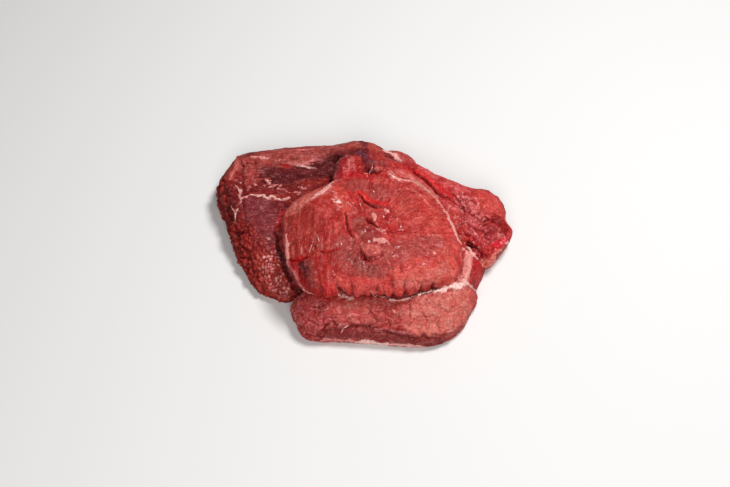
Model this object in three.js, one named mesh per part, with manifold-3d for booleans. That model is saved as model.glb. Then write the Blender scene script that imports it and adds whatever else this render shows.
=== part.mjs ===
// A raw beef cheek, trimmed and lying on its flat side: one solid piece of meat, in millimetres.
// It is a thick cut bed with a round muscle folded over it. Each lobe is a pad with its own outline
// and crown; the lobes are joined into one body and the underside is cut flat where it rests.
// X runs left to right, +Y away from the front slab, +Z up; the origin is under the middle.
import * as THREE from "three";
import { mergeVertices } from "three/addons/utils/BufferGeometryUtils.js";
import { SimplexNoise } from "three/addons/math/SimplexNoise.js";
import Module from "manifold-3d";

// Driving dimensions
const DISC_CROWN = 41; // top of the round muscle
const DISC_WAIST = 29; // height at which the round muscle is widest
const FLAP_TOP = 22; // upper face of the left flap
const SLAB_TOP = 25; // upper edge of the front slab, along the cleft
const SLAB_FALL = 0.62; // how fast the slab's cut face drops towards the front
const BED_TOP = 23; // the meat below the round muscle
const CREST_TOP = 33.5; // the ridge across the back
const RIGHT_TOP = 25; // upper face of the right lobe
const DISC_DOME = 0.0013; // how fast the round muscle's top falls away from its crown
const FLAP_BUNDLE = 6; // width of a muscle bundle on the flap's cut side
const RIGHT_BUNDLE = 6.5; // the same on the torn right lobe
const SLAB_BUNDLE = 12; // the same on the slab's cut face
const CUT_DEPTH = 10; // how far every lobe reaches below the table before the cut
const TABLE = 420; // width of the block that cuts the underside flat
const SEED = 11;

const wasm = await Module();
wasm.setup();

// Noise
function seededRandom(seed) {
  let state = seed;
  return () => {
    state = (state * 1664525 + 1013904223) % 4294967296;
    return state / 4294967296;
  };
}

const noise = new SimplexNoise({ random: seededRandom(SEED) });

// Smooth unevenness of the given wavelength, from -1 to 1.
function swell(p, wavelength) {
  return noise.noise3d(p.x / wavelength, p.y / wavelength, p.z / wavelength);
}

// A fixed offset from 0 to 1 for one cell of a grid.
function cellOffset(i, j, k, axis) {
  const mixed = Math.sin(i * 127.1 + j * 311.7 + k * 74.7 + axis * 53.3) * 43758.5453;
  return mixed - Math.floor(mixed);
}

// Muscle bundles cut across the grain: rounded heads packed together, 1 on a head and 0 between heads.
function bundleHeads(p, size) {
  const [x, y, z] = [p.x / size, p.y / size, p.z / size];
  const [i0, j0, k0] = [Math.floor(x), Math.floor(y), Math.floor(z)];
  let nearest = Infinity;
  let second = Infinity;
  for (let i = i0 - 1; i <= i0 + 1; i++) {
    for (let j = j0 - 1; j <= j0 + 1; j++) {
      for (let k = k0 - 1; k <= k0 + 1; k++) {
        const dx = i + cellOffset(i, j, k, 0) - x;
        const dy = j + cellOffset(i, j, k, 1) - y;
        const dz = k + cellOffset(i, j, k, 2) - z;
        const d = Math.hypot(dx, dy, dz);
        if (d < nearest) {
          second = nearest;
          nearest = d;
        } else if (d < second) {
          second = d;
        }
      }
    }
  }
  return THREE.MathUtils.smoothstep(second - nearest, 0, 0.5);
}

// Distance from (x, y) to a line through the given points.
function distanceToLine(x, y, points) {
  let best = Infinity;
  for (let i = 1; i < points.length; i++) {
    const [ax, ay] = points[i - 1];
    const [bx, by] = points[i];
    const [ux, uy] = [bx - ax, by - ay];
    const along = ((x - ax) * ux + (y - ay) * uy) / (ux * ux + uy * uy);
    const t = THREE.MathUtils.clamp(along, 0, 1);
    best = Math.min(best, Math.hypot(x - ax - t * ux, y - ay - t * uy));
  }
  return best;
}

// A rounded rise, or with a negative height a groove, along a line.
function along(points, height, width) {
  return (x, y) => height * Math.exp(-((distanceToLine(x, y, points) / width) ** 2));
}

// A round rise or dip at one place.
function mound(cx, cy, height, width) {
  return (x, y) => height * Math.exp(-(((x - cx) ** 2 + (y - cy) ** 2) / width ** 2));
}

function total(shapes) {
  return (x, y) => shapes.reduce((sum, shape) => sum + shape(x, y), 0);
}

// Lobes

// Position on the rim, for a point of a square of side 2: which of its four sides (0 right, 1 back,
// 2 left, 3 front) it looks out on, how far along that side, and how far out from the middle.
function lookOut(a, b) {
  const out = Math.max(Math.abs(a), Math.abs(b));
  if (out === 0) return { side: 0, along: 0.5, out };
  if (a === out) return { side: 0, along: (1 + b / out) / 2, out };
  if (b === out) return { side: 1, along: (1 - a / out) / 2, out };
  if (a === -out) return { side: 2, along: (1 - b / out) / 2, out };
  return { side: 3, along: (1 + a / out) / 2, out };
}

// One lobe, closed all round. Its rim runs anticlockwise, given side by side: right, back, left, front.
// It is widest at the height waist, crowned above it as top(x, y) says, and drawn in below it to keel.
// flatness is how far the upper face stays level before the shoulder, cells how many faces the box that
// it is shaped from has along each way, and relief the unevenness of its surface.
function lobe({ rim, middle, waist, keel, top, flatness, cells, relief }) {
  const knots = [...rim.right, ...rim.back, ...rim.left, ...rim.front];
  const curve = new THREE.CatmullRomCurve3(
    knots.map(([x, y]) => new THREE.Vector3(x, y, 0)),
    true,
    "centripetal",
  );
  const counts = [rim.right.length, rim.back.length, rim.left.length, rim.front.length];
  const starts = [0, counts[0], counts[0] + counts[1], counts[0] + counts[1] + counts[2]];
  const box = new THREE.BoxGeometry(2, 2, 2, ...cells);
  box.deleteAttribute("normal");
  box.deleteAttribute("uv");
  const geometry = mergeVertices(box, 1e-4);
  const place = geometry.getAttribute("position");
  const rimReach = 0.93; // share of the way out that the box's level faces cover
  const rimAngle = Math.asin(rimReach ** (flatness / 2));
  for (let n = 0; n < place.count; n++) {
    const [a, b, c] = [place.getX(n), place.getY(n), place.getZ(n)];
    const { side, along: share, out } = lookOut(a, b);
    const level = Math.abs(c) > 1 - 1e-6;
    const angle = level
      ? Math.asin((out * rimReach) ** (flatness / 2))
      : rimAngle + ((1 - c) / 2) * (Math.PI - 2 * rimAngle);
    const upwards = level ? c > 0 : Math.cos(angle) > 0;
    const reach = Math.sin(angle) ** (2 / flatness);
    const rise = Math.abs(Math.cos(angle));
    const edge = curve.getPoint((starts[side] + share * counts[side]) / knots.length);
    const x = middle[0] + reach * (edge.x - middle[0]);
    const y = middle[1] + reach * (edge.y - middle[1]);
    const limit = upwards ? top(x, y) : keel;
    place.setXYZ(n, x, y, waist + (limit - waist) * rise);
  }
  if (relief) roughen(geometry, relief);
  return solidOf(geometry);
}

// Moves each point along its normal by what relief says there.
function roughen(geometry, relief) {
  geometry.computeVertexNormals();
  const place = geometry.getAttribute("position");
  const normal = geometry.getAttribute("normal");
  const p = new THREE.Vector3();
  const push = new THREE.Vector3();
  for (let n = 0; n < place.count; n++) {
    p.fromBufferAttribute(place, n);
    push.fromBufferAttribute(normal, n).multiplyScalar(relief(p));
    p.add(push);
    place.setXYZ(n, p.x, p.y, p.z);
  }
  geometry.deleteAttribute("normal");
}

function solidOf(geometry) {
  const merged = mergeVertices(geometry, 1e-4);
  return new wasm.Manifold(
    new wasm.Mesh({
      numProp: 3,
      vertProperties: new Float32Array(merged.getAttribute("position").array),
      triVerts: new Uint32Array(merged.index.array),
    }),
  );
}

// The meat below the round muscle, which the other lobes grow from.
function bed() {
  return lobe({
    rim: {
      right: [[66, -38], [77, -20], [80, -6], [80, 8]],
      back: [[66, 30], [24, 54], [-15, 58], [-58, 54]],
      left: [[-76, 40], [-74, 8], [-58, -24]],
      front: [[-36, -46], [-30, -60], [20, -62], [56, -56]],
    },
    middle: [0, 0],
    waist: 7,
    keel: -CUT_DEPTH,
    top: (x) => BED_TOP - 5 * THREE.MathUtils.smoothstep(-x, 20, 40),
    flatness: 6,
    cells: [9, 8, 3],
  });
}

// The left flap: it climbs towards the back, has a sunken band along the back edge, and its coarse
// cut side slopes down to the left front.
function leftFlap() {
  const hollow = [[-66, 44], [-46, 49], [-30, 50], [-16, 50]];
  const shelf = [[-80, 24], [-68, 27], [-58, 25], [-44, 26]];
  const gapBesideDisc = [[-54, 2], [-51, -12], [-47, -27], [-43, -36], [-38, -46]];
  const top = total([
    () => FLAP_TOP,
    (x, y) => 1.2 * THREE.MathUtils.smoothstep(y, 50, 66),
    (x, y) => 0.11 * Math.max(0, x + 76) * THREE.MathUtils.smoothstep(y, 30, 70),
    (x, y) => -0.02 * Math.max(0, 10 - 0.73 * (x + 80) - 0.685 * (y - 12)) ** 2,
    along(hollow, -4, 10),
    along(shelf, 1.2, 5),
    along(gapBesideDisc, -2.2, 2.4),
    mound(-88, 38, 1.5, 8),
  ]);
  return lobe({
    rim: {
      right: [[-34, -30], [-24, -10], [-8, 24], [2, 52]],
      back: [[4, 71], [-14, 74], [-30, 74.2], [-44, 74], [-58, 73.2], [-70, 72]],
      left: [[-81.5, 68.5], [-88, 58], [-93, 46], [-92.6, 34], [-88, 22], [-84, 9], [-80, -4], [-75, -15]],
      front: [[-70, -25], [-64, -33.5], [-54.5, -38.5], [-45, -41.5]],
    },
    middle: [-46, 20],
    waist: 8,
    keel: -CUT_DEPTH,
    top,
    flatness: 8,
    cells: [22, 32, 6],
    relief: (p) => {
      const cutSide = THREE.MathUtils.smoothstep(-0.73 * p.x - 0.685 * p.y, 46, 54);
      return 0.4 * swell(p, 14) + cutSide * (1.6 * bundleHeads(p, FLAP_BUNDLE) - 0.9);
    },
  });
}

// The ridge across the back, where the flap and the round muscle run together.
function crest() {
  return lobe({
    rim: {
      right: [[20, 34], [25, 45], [25, 55]],
      back: [[20, 64], [13, 71], [4, 74.2], [-6, 74.8], [-16, 73.5]],
      left: [[-30, 71], [-34, 66], [-24, 60]],
      front: [[-13, 50], [-11, 34], [0, 28], [12, 28]],
    },
    middle: [-4, 50],
    waist: 14,
    keel: -CUT_DEPTH,
    top: (x, y) => CREST_TOP - 0.05 * (y - 50) - 0.3 * Math.max(0, -4 - x) - 0.08 * Math.max(0, x),
    flatness: 3.2,
    cells: [14, 12, 4],
    relief: (p) => 0.7 * swell(p, 11),
  });
}

// The low muscle end that shows behind the crest on the right.
function rearLobe() {
  return lobe({
    rim: {
      right: [[38, 46], [38, 53]],
      back: [[36, 61], [29, 68.5], [20, 71.5]],
      left: [[11, 68], [8, 56]],
      front: [[12, 44], [26, 40]],
    },
    middle: [23, 54],
    waist: 10,
    keel: -CUT_DEPTH,
    top: () => 23,
    flatness: 4,
    cells: [10, 10, 3],
    relief: (p) => 0.5 * swell(p, 9),
  });
}

// The right lobe: level with the round muscle where they meet, with a torn lip that stands up across
// it, coarse and cracked further out, and drawn out into a tip.
function rightLobe() {
  const backEdge = [[30, 50], [42, 44], [52, 37], [60, 30]];
  const lip = [[33, 45], [39, 41], [44, 36], [48, 30], [52, 25.5], [57, 24]];
  const underLip = [[31, 40], [37, 35.5], [41, 31], [45, 26], [50, 19]];
  const tear = [[58, 20], [66, 12], [74, 6], [84, 8]];
  const crevice = [[66.5, -9.5], [70, -13.5], [73, -18], [76, -24]];
  const top = total([
    () => RIGHT_TOP,
    (x) => 0.14 * Math.max(0, 74 - x),
    (x) => -0.18 * Math.max(0, x - 80),
    along(backEdge, 2.6, 5),
    along(lip, 2.6, 3),
    along(underLip, -1.6, 2.5),
    along(tear, -3.5, 3.5),
    along(crevice, -2.5, 2.2),
    mound(80, 22, 1.5, 9),
    mound(90, -7, -9, 14),
  ]);
  return lobe({
    rim: {
      right: [[76, -18], [83, -16.5], [88.5, -9], [95, 2], [91, 11], [91.4, 20]],
      back: [[88.4, 28.5], [81, 34.5], [71, 36], [61, 39.5], [50, 43], [40, 47], [31, 53]],
      left: [[20, 58], [16, 46], [24, 32], [36, 18]],
      front: [[46, 6], [56, -3], [66, -10]],
    },
    middle: [66, 18],
    waist: 15,
    keel: -CUT_DEPTH,
    top,
    flatness: 5,
    cells: [22, 20, 6],
    relief: (p) => {
      const coarse = THREE.MathUtils.smoothstep(p.x, 56, 66);
      return 0.5 * swell(p, 10) + coarse * (1.5 * bundleHeads(p, RIGHT_BUNDLE) - 0.8);
    },
  });
}

// The low flank below the right lobe, down to the front slab.
function flank() {
  return lobe({
    rim: {
      right: [[66, -44], [70.5, -34], [74, -26], [77.5, -16]],
      back: [[80, -6], [62, 2]],
      left: [[44, -6], [38, -26]],
      front: [[44, -46], [56, -49]],
    },
    middle: [60, -24],
    waist: 6,
    keel: -CUT_DEPTH,
    top: (x) => 23 - 0.38 * Math.max(0, x - 58),
    flatness: 4,
    cells: [10, 12, 4],
    relief: (p) => 0.4 * swell(p, 9),
  });
}

// The front slab: its cut face slopes to the front and shows the muscle bundles as blunt facets.
function frontSlab() {
  const foldLine = [[-18, -66], [10, -67.5], [44, -66]];
  const top = total([
    (x, y) => SLAB_TOP + SLAB_FALL * Math.min(0, y + 51),
    along(foldLine, -1.5, 2.5),
    mound(-38, -54, -3, 10),
  ]);
  return lobe({
    rim: {
      right: [[62.5, -60], [66.5, -51], [70.5, -42]],
      back: [[64, -37], [52, -38], [40, -43], [26, -48], [8, -48], [-10, -46], [-26, -45]],
      left: [[-40, -45], [-42.5, -50], [-40, -58]],
      front: [[-37, -65], [-30, -68.8], [-14, -69.6], [4, -71], [22, -72.8], [38, -73.4], [50, -70.5]],
    },
    middle: [14, -58],
    waist: 7,
    keel: -CUT_DEPTH,
    top,
    flatness: 7,
    cells: [42, 12, 6],
    relief: (p) => 0.4 * swell(p, 12) + 1.7 * bundleHeads(p, SLAB_BUNDLE) - 1.2,
  });
}

// The round muscle on top: it runs up into the crest at the back, its middle is torn, with slits and
// a raised tongue, and its front rim is notched between rounded bundles.
function disc() {
  const slits = [
    [[-9.4, 1], [-8.7, -8], [-5.6, -19]],
    [[3.5, -5], [8.4, -10.5]],
    [[-26, -29], [-21.5, -31], [-14, -27]],
    [[-43, -35.5], [-34, -33.5]],
  ];
  const tongue = [[0, 21], [4, 16], [8, 12], [15, 11]];
  const notches = [
    [[-15.5, -46], [-14, -52], [-11, -60]],
    [[-6, -48], [-5.4, -62]],
    [[0.3, -50], [0.3, -62]],
    [[6.2, -50], [6.4, -62]],
    [[11, -48], [11, -62]],
    [[18, -43], [18.5, -60]],
    [[26.5, -46], [26, -60]],
    [[35.5, -47], [35, -58]],
  ];
  const top = total([
    (x, y) => DISC_CROWN - DISC_DOME * ((x - 6) ** 2 + (y + 8) ** 2),
    mound(-30, -34, -2, 14),
    mound(2, 8, -1.5, 12),
    mound(54, 16, -4.5, 17),
    mound(32, 36, -4, 15),
    along(tongue, 1.6, 3.4),
    ...slits.map((line) => along(line, -2, 2.8)),
    ...notches.map((line) => along(line, -3, 1.9)),
  ]);
  return lobe({
    rim: {
      right: [[55, -43.5], [60, -35], [61.5, -22], [59.5, -9], [55.5, 3], [51, 14]],
      back: [
        [45, 23.5], [39, 33], [32, 42], [23, 49.5], [12, 54], [3, 52.5], [-2, 46], [-8, 39],
        [-19, 32], [-29, 25.5], [-38, 20],
      ],
      left: [[-45, 13], [-49, 3], [-48.5, -8], [-47.5, -19], [-46, -29]],
      front: [
        [-42.5, -38], [-36, -46.5], [-28, -52], [-18.5, -56], [-12, -52.5], [-3, -54.5], [8, -54],
        [19, -55.5], [29, -54], [38, -50], [47, -47],
      ],
    },
    middle: [5, -8],
    waist: DISC_WAIST,
    keel: 6,
    top,
    flatness: 6,
    cells: [42, 28, 5],
    relief: (p) => 0.6 * swell(p, 16) + 0.3 * swell(p, 7),
  });
}

// The red knob where the round muscle meets the crest.
function knob() {
  return lobe({
    rim: {
      right: [[0, 34], [0, 44]],
      back: [[-3, 51], [-8, 55], [-13, 53]],
      left: [[-17, 46], [-18, 36]],
      front: [[-16, 24], [-2, 24]],
    },
    middle: [-9, 40],
    waist: 27,
    keel: 18,
    top: () => 37,
    flatness: 2.6,
    cells: [8, 10, 2],
    relief: (p) => 0.4 * swell(p, 5),
  });
}

// The torn flap on the round muscle, lifted at its front edge, and the smaller scrap behind it.
function tornFlaps() {
  const flap = lobe({
    rim: {
      right: [[11.3, -35], [13.1, -32]],
      back: [[8.9, -28.2], [5.3, -25.9], [1.1, -25.9]],
      left: [[-0.5, -29], [-0.1, -32]],
      front: [[1.7, -36.5], [4.1, -38], [7.7, -37.3]],
    },
    middle: [6, -32],
    waist: 40.4,
    keel: 37,
    top: (x, y) => 41 + 0.2 * Math.max(0, -27 - y),
    flatness: 5,
    cells: [6, 6, 2],
  });
  const scrap = lobe({
    rim: {
      right: [[14.9, -26.7], [15.5, -23.6]],
      back: [[11.3, -22.1], [7.7, -22.1]],
      left: [[6.8, -23.6], [7.1, -25.2]],
      front: [[10.1, -26.7], [12.5, -27.2]],
    },
    middle: [11, -24.6],
    waist: 40.4,
    keel: 37,
    top: (x, y) => 41 + 0.25 * Math.max(0, -22 - y),
    flatness: 5,
    cells: [4, 3, 2],
  });
  return flap.add(scrap);
}

// Below the table everything is cut away, so the cheek has a flat side to rest on.
function table() {
  const block = new THREE.BoxGeometry(TABLE, TABLE, TABLE);
  block.deleteAttribute("normal");
  block.deleteAttribute("uv");
  block.translate(0, 0, -TABLE / 2);
  return solidOf(block);
}

function cheekSolid() {
  const lobes = [
    bed(), leftFlap(), crest(), rearLobe(), rightLobe(), flank(), frontSlab(), disc(), knob(),
    tornFlaps(),
  ];
  return lobes.reduce((whole, next) => whole.add(next)).subtract(table());
}

function geometryOf(solid) {
  const { vertProperties, triVerts } = solid.getMesh();
  const geometry = new THREE.BufferGeometry();
  geometry.setAttribute("position", new THREE.BufferAttribute(vertProperties, 3));
  geometry.setIndex(new THREE.BufferAttribute(triVerts, 1));
  geometry.computeVertexNormals();
  return geometry;
}

const rawBeef = new THREE.MeshStandardMaterial({
  name: "raw_beef",
  color: new THREE.Color().setRGB(0.58, 0.13, 0.12, THREE.SRGBColorSpace),
  roughness: 0.45,
  metalness: 0,
});

const cheek = new THREE.Mesh(geometryOf(cheekSolid()), rawBeef);
cheek.name = "beef_cheek";

const part = new THREE.Group();
part.add(cheek);
export default part;
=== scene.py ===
import math

import bmesh
import bpy
import numpy as np
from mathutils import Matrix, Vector
from mathutils.bvhtree import BVHTree


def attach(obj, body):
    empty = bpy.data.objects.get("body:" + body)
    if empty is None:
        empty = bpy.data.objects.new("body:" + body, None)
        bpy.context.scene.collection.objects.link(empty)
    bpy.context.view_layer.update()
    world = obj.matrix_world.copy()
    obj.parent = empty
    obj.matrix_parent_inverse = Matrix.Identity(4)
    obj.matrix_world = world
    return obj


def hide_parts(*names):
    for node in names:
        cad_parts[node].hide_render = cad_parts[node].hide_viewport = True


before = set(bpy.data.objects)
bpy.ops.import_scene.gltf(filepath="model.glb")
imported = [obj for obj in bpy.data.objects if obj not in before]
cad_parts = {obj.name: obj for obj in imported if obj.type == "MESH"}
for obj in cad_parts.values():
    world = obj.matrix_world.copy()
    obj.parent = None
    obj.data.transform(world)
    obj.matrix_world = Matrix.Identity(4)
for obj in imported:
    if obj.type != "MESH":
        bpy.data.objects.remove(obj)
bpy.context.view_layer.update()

# The flesh: one piece of raw muscle, trimmed and folded. It is a set of lobes grown into each other,
# each with its own outline and crown, fused into one skin and cut flat where it rests.
MM = 0.001
SKIN_CELL = 0.7  # spacing of the skin's points
BELOW_BOARD = 10  # how far the lobes reach below the board before they are cut flat
DISC_CROWN, DISC_WAIST = 41, 29  # heights over the board
FLAP_TOP, SLAB_TOP, BED_TOP = 22, 25, 23
SLAB_FALL = 0.62  # how steeply the slab falls towards the front
FAR_OFF = 1e9  # the distance of a place that a line doesn't reach


def smooth(value, low, high):
    """0 up to low, 1 from high on, and a soft step between them."""
    t = np.clip((value - low) / (high - low), 0, 1)
    return t * t * (3 - 2 * t)


def fading(distance, reach):
    """1 at no distance, and less and less further away."""
    return np.exp(-((distance / reach) ** 2))


def to_line(x, y, points):
    """Distance from each place to a line in plan."""
    best = np.full(np.shape(x), FAR_OFF)
    for (ax, ay), (bx, by) in zip(points, points[1:]):
        leg = (bx - ax) ** 2 + (by - ay) ** 2
        t = np.clip(((x - ax) * (bx - ax) + (y - ay) * (by - ay)) / leg, 0, 1)
        best = np.minimum(best, np.hypot(x - ax - t * (bx - ax), y - ay - t * (by - ay)))
    return best


def ridge(points, height, width):
    """A height along a line in plan, falling off to both sides."""
    return lambda x, y: height * fading(to_line(x, y, points), width)


def mound(cx, cy, height, width):
    """A height round a place in plan."""
    return lambda x, y: height * np.exp(-((x - cx) ** 2 + (y - cy) ** 2) / width**2)


def total(*shapes):
    """Heights on top of each other."""
    return lambda x, y: sum(shape(x, y) for shape in shapes)


LOBES = {
    "bed": dict(
        rim=[(66, -38), (77, -20), (80, -6), (80, 8), (66, 30), (24, 54), (-15, 58), (-58, 54),
             (-76, 40), (-74, 8), (-58, -24), (-36, -46), (-30, -60), (20, -62), (56, -56)],
        middle=(0, 0), waist=7, keel=-BELOW_BOARD, flatness=6,
        top=lambda x, y: BED_TOP - 5 * smooth(-x, 20, 40),
    ),
    "flap": dict(
        rim=[(-34, -30), (-24, -10), (-8, 24), (2, 52), (4, 71), (-14, 74), (-30, 74.2), (-44, 74),
             (-58, 73.2), (-70, 72), (-81.5, 68.5), (-88, 58), (-93, 46), (-92.6, 34), (-88, 22),
             (-84, 9), (-80, -4), (-75, -15), (-70, -25), (-64, -33.5), (-54.5, -38.5), (-45, -41.5)],
        middle=(-46, 20), waist=8, keel=-BELOW_BOARD, flatness=8,
        top=total(
            lambda x, y: FLAP_TOP + 1.2 * smooth(y, 50, 66),
            lambda x, y: 0.11 * np.maximum(0, x + 76) * smooth(y, 30, 70),
            lambda x, y: -0.02 * np.maximum(0, 10 - 0.73 * (x + 80) - 0.685 * (y - 12)) ** 2,
            ridge([(-66, 44), (-46, 49), (-30, 50), (-16, 50)], -4, 10),
            ridge([(-80, 24), (-68, 27), (-58, 25), (-44, 26)], 1.2, 5),
            mound(-88, 38, 1.5, 8),
        ),
    ),
    "crest": dict(
        rim=[(20, 34), (25, 45), (25, 55), (20, 64), (13, 71), (4, 74.2), (-6, 74.8), (-16, 73.5),
             (-30, 71), (-34, 66), (-24, 60), (-13, 50), (-11, 34), (0, 28), (12, 28)],
        middle=(-4, 50), waist=14, keel=-BELOW_BOARD, flatness=3.2,
        top=lambda x, y: (
            33.5 - 0.05 * (y - 50) - 0.3 * np.maximum(0, -4 - x) - 0.08 * np.maximum(0, x)
        ),
    ),
    "rear": dict(
        rim=[(38, 46), (38, 53), (36, 61), (29, 68.5), (20, 71.5), (11, 68), (8, 56), (12, 44),
             (26, 40)],
        middle=(23, 54), waist=10, keel=-BELOW_BOARD, flatness=4,
        top=lambda x, y: 23 + 0 * x,
    ),
    "right": dict(
        rim=[(76, -18), (82, -14.8), (88.2, -7), (93.4, 0.8), (95.3, 4.6), (93.6, 8), (91.2, 13),
             (91.4, 20), (88.4, 28.5), (81, 34.5), (71, 36), (61, 39.5), (50, 43), (40, 47), (31, 53),
             (20, 58), (16, 46), (24, 32), (36, 18), (46, 6), (56, -3), (66, -10)],
        middle=(66, 18), waist=15, keel=-BELOW_BOARD, flatness=5,
        top=total(
            lambda x, y: 25 + 0.14 * np.maximum(0, 74 - x) - 0.18 * np.maximum(0, x - 80),
            ridge([(30, 50), (42, 44), (52, 37), (60, 30)], 2.6, 5),
            ridge([(58, 20), (66, 12), (74, 6), (84, 8)], -3.5, 3.5),
            mound(80, 22, 1.5, 9),
            mound(90, -7, -9, 14),
        ),
    ),
    "flank": dict(
        rim=[(66, -44), (70.5, -34), (74, -26), (77.5, -16), (80, -6), (62, 2), (44, -6), (38, -26),
             (44, -46), (56, -49)],
        middle=(60, -24), waist=6, keel=-BELOW_BOARD, flatness=4,
        top=lambda x, y: 23 - 0.38 * np.maximum(0, x - 58),
    ),
    "slab": dict(
        rim=[(62.5, -60), (66.5, -51), (70.5, -42), (64, -37), (52, -38), (40, -43), (26, -48),
             (8, -48), (-10, -46), (-26, -45), (-40, -45), (-42.5, -50), (-40, -58), (-37, -65),
             (-30, -68.8), (-14, -69.6), (4, -71), (22, -72.8), (38, -73.4), (50, -70.5)],
        middle=(14, -58), waist=7, keel=-BELOW_BOARD, flatness=7,
        top=total(
            lambda x, y: SLAB_TOP + SLAB_FALL * np.minimum(0, y + 51),
            ridge([(-18, -66), (10, -67.5), (44, -66)], -1.5, 2.5),
            mound(-38, -54, -3, 10),
        ),
    ),
    "disc": dict(
        rim=[(55, -43.5), (60, -35), (61.5, -22), (59.5, -9), (55.5, 3), (51, 14), (45, 23.5),
             (39, 33), (32, 42), (23, 49.5), (12, 54), (3, 52.5), (-2, 46), (-8, 39), (-19, 32),
             (-29, 25.5), (-38, 20), (-45, 13), (-49, 3), (-48.5, -8), (-47.5, -19), (-46, -29),
             (-42.5, -38), (-36, -46.5), (-28, -52), (-18.5, -56), (-12, -52.5), (-3, -54.5),
             (8, -54), (19, -55.5), (29, -54), (38, -50), (47, -47)],
        middle=(5, -8), waist=DISC_WAIST, keel=6, flatness=6,
        top=total(
            lambda x, y: DISC_CROWN - 0.0013 * ((x - 6) ** 2 + (y + 8) ** 2),
            mound(-30, -34, -2, 14),
            mound(2, 8, -1.5, 12),
            mound(54, 16, -4.5, 17),
            mound(32, 36, -4, 15),
        ),
    ),
    "knob": dict(
        rim=[(0, 34), (0, 44), (-3, 51), (-8, 55), (-13, 53), (-17, 46), (-18, 36), (-16, 24),
             (-2, 24)],
        middle=(-9, 40), waist=27, keel=18, flatness=2.6,
        top=lambda x, y: 37 + 0 * x,
    ),
}


def rim_curve(points, count):
    """A closed curve through the rim's points, as count points."""
    knots = np.array(points, float)
    at = np.arange(count) * len(knots) / count
    i = at.astype(int)
    w = (at - i)[:, None]
    before, start, end, after = (knots[(i + k) % len(knots)] for k in (-1, 0, 1, 2))
    span = [
        np.sqrt(np.linalg.norm(b - a, axis=1, keepdims=True))
        for a, b in ((before, start), (start, end), (end, after))
    ]
    leave = (start - before) / span[0] - (end - before) / (span[0] + span[1]) + (end - start) / span[1]
    arrive = (end - start) / span[1] - (after - start) / (span[1] + span[2]) + (after - end) / span[2]
    leave, arrive = leave * span[1], arrive * span[1]
    cubic = 2 * start - 2 * end + leave + arrive
    square = -3 * start + 3 * end - 2 * leave - arrive
    return start + leave * w + square * w**2 + cubic * w**3


POINTS_AROUND = 260
CROWN_RINGS, SIDE_RINGS = 46, 26
CROWN_START, CROWN_REACH = 0.02, 0.93  # its first and last ring, as a share of the way out


def lobe_shell(rim, middle, waist, keel, flatness, top):
    """One closed lobe as rings of points from its crown, over its rim, to its keel."""
    edge = rim_curve(rim, POINTS_AROUND)
    edge_angle = math.asin(CROWN_REACH ** (flatness / 2))
    crown = np.arcsin((np.linspace(CROWN_START, 1, CROWN_RINGS) * CROWN_REACH) ** (flatness / 2))
    side = np.linspace(edge_angle, math.pi - edge_angle, SIDE_RINGS)[1:-1]
    fall = np.concatenate([crown, side, math.pi - crown[::-1]])
    reach = np.sin(fall) ** (2 / flatness)
    xy = np.array(middle) + reach[:, None, None] * (edge - np.array(middle))
    limit = np.where(np.cos(fall)[:, None] > 0, top(xy[..., 0], xy[..., 1]), keel)
    z = waist + (limit - waist) * np.abs(np.cos(fall))[:, None]
    rings, around = z.shape
    points = np.concatenate([xy, z[..., None]], axis=2).reshape(-1, 3)
    faces = []
    for upper in range(0, (rings - 1) * around, around):
        for a in range(around):
            b = (a + 1) % around
            faces.append([upper + around + a, upper + around + b, upper + b, upper + a])
    faces.append(list(range(around)))
    faces.append([(rings - 1) * around + a for a in reversed(range(around))])
    return points, faces


def added(name, data):
    """A new object of the scene."""
    thing = bpy.data.objects.new(name, data)
    bpy.context.scene.collection.objects.link(thing)
    return thing


def as_shown(thing):
    """The mesh of an object with its modifiers at work."""
    seen = thing.evaluated_get(bpy.context.evaluated_depsgraph_get())
    return bpy.data.meshes.new_from_object(seen)


def fused_skin():
    """The lobes joined into one closed skin with even points, cut flat where it rests."""
    points, faces = [], []
    for lobe in LOBES.values():
        lobe_points, lobe_faces = lobe_shell(**lobe)
        start = sum(len(p) for p in points)
        points.append(lobe_points)
        faces += [[start + corner for corner in face] for face in lobe_faces]
    mesh = bpy.data.meshes.new("flesh")
    mesh.from_pydata(np.concatenate(points) * MM, [], faces)
    skin = added("flesh", mesh)
    fuse = skin.modifiers.new("fuse", "REMESH")
    fuse.mode = "VOXEL"
    fuse.voxel_size = SKIN_CELL * MM
    fused = as_shown(skin)
    skin.modifiers.clear()
    skin.data = fused
    cut = bmesh.new()
    cut.from_mesh(fused)
    everything = cut.verts[:] + cut.edges[:] + cut.faces[:]
    board, up = (0, 0, 0), (0, 0, 1)
    bmesh.ops.bisect_plane(cut, geom=everything, plane_co=board, plane_no=up, clear_inner=True)
    bmesh.ops.contextual_create(cut, geom=[e for e in cut.edges if e.is_boundary])
    cut.to_mesh(fused)
    cut.free()
    return skin


flesh = fused_skin()
skin_edges = np.empty(2 * len(flesh.data.edges), int)
flesh.data.edges.foreach_get("vertices", skin_edges)
skin_edges = skin_edges.reshape(-1, 2)
neighbours = np.bincount(skin_edges.ravel())


def skin_points():
    """The places of the skin's points."""
    points = np.empty(3 * len(flesh.data.vertices))
    flesh.data.vertices.foreach_get("co", points)
    return points.reshape(-1, 3) / MM


def lay_skin(points):
    """Moves the skin's points, with its cut side kept flat on the board, and gives its normals."""
    points[:, 2] = np.where(on_board, 0, np.maximum(points[:, 2], LOWEST_SIDE))
    flesh.data.vertices.foreach_set("co", (points * MM).ravel())
    flesh.data.update()
    normals = np.empty(3 * len(flesh.data.vertices))
    flesh.data.vertex_normals.foreach_get("vector", normals)
    return normals.reshape(-1, 3)


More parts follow.
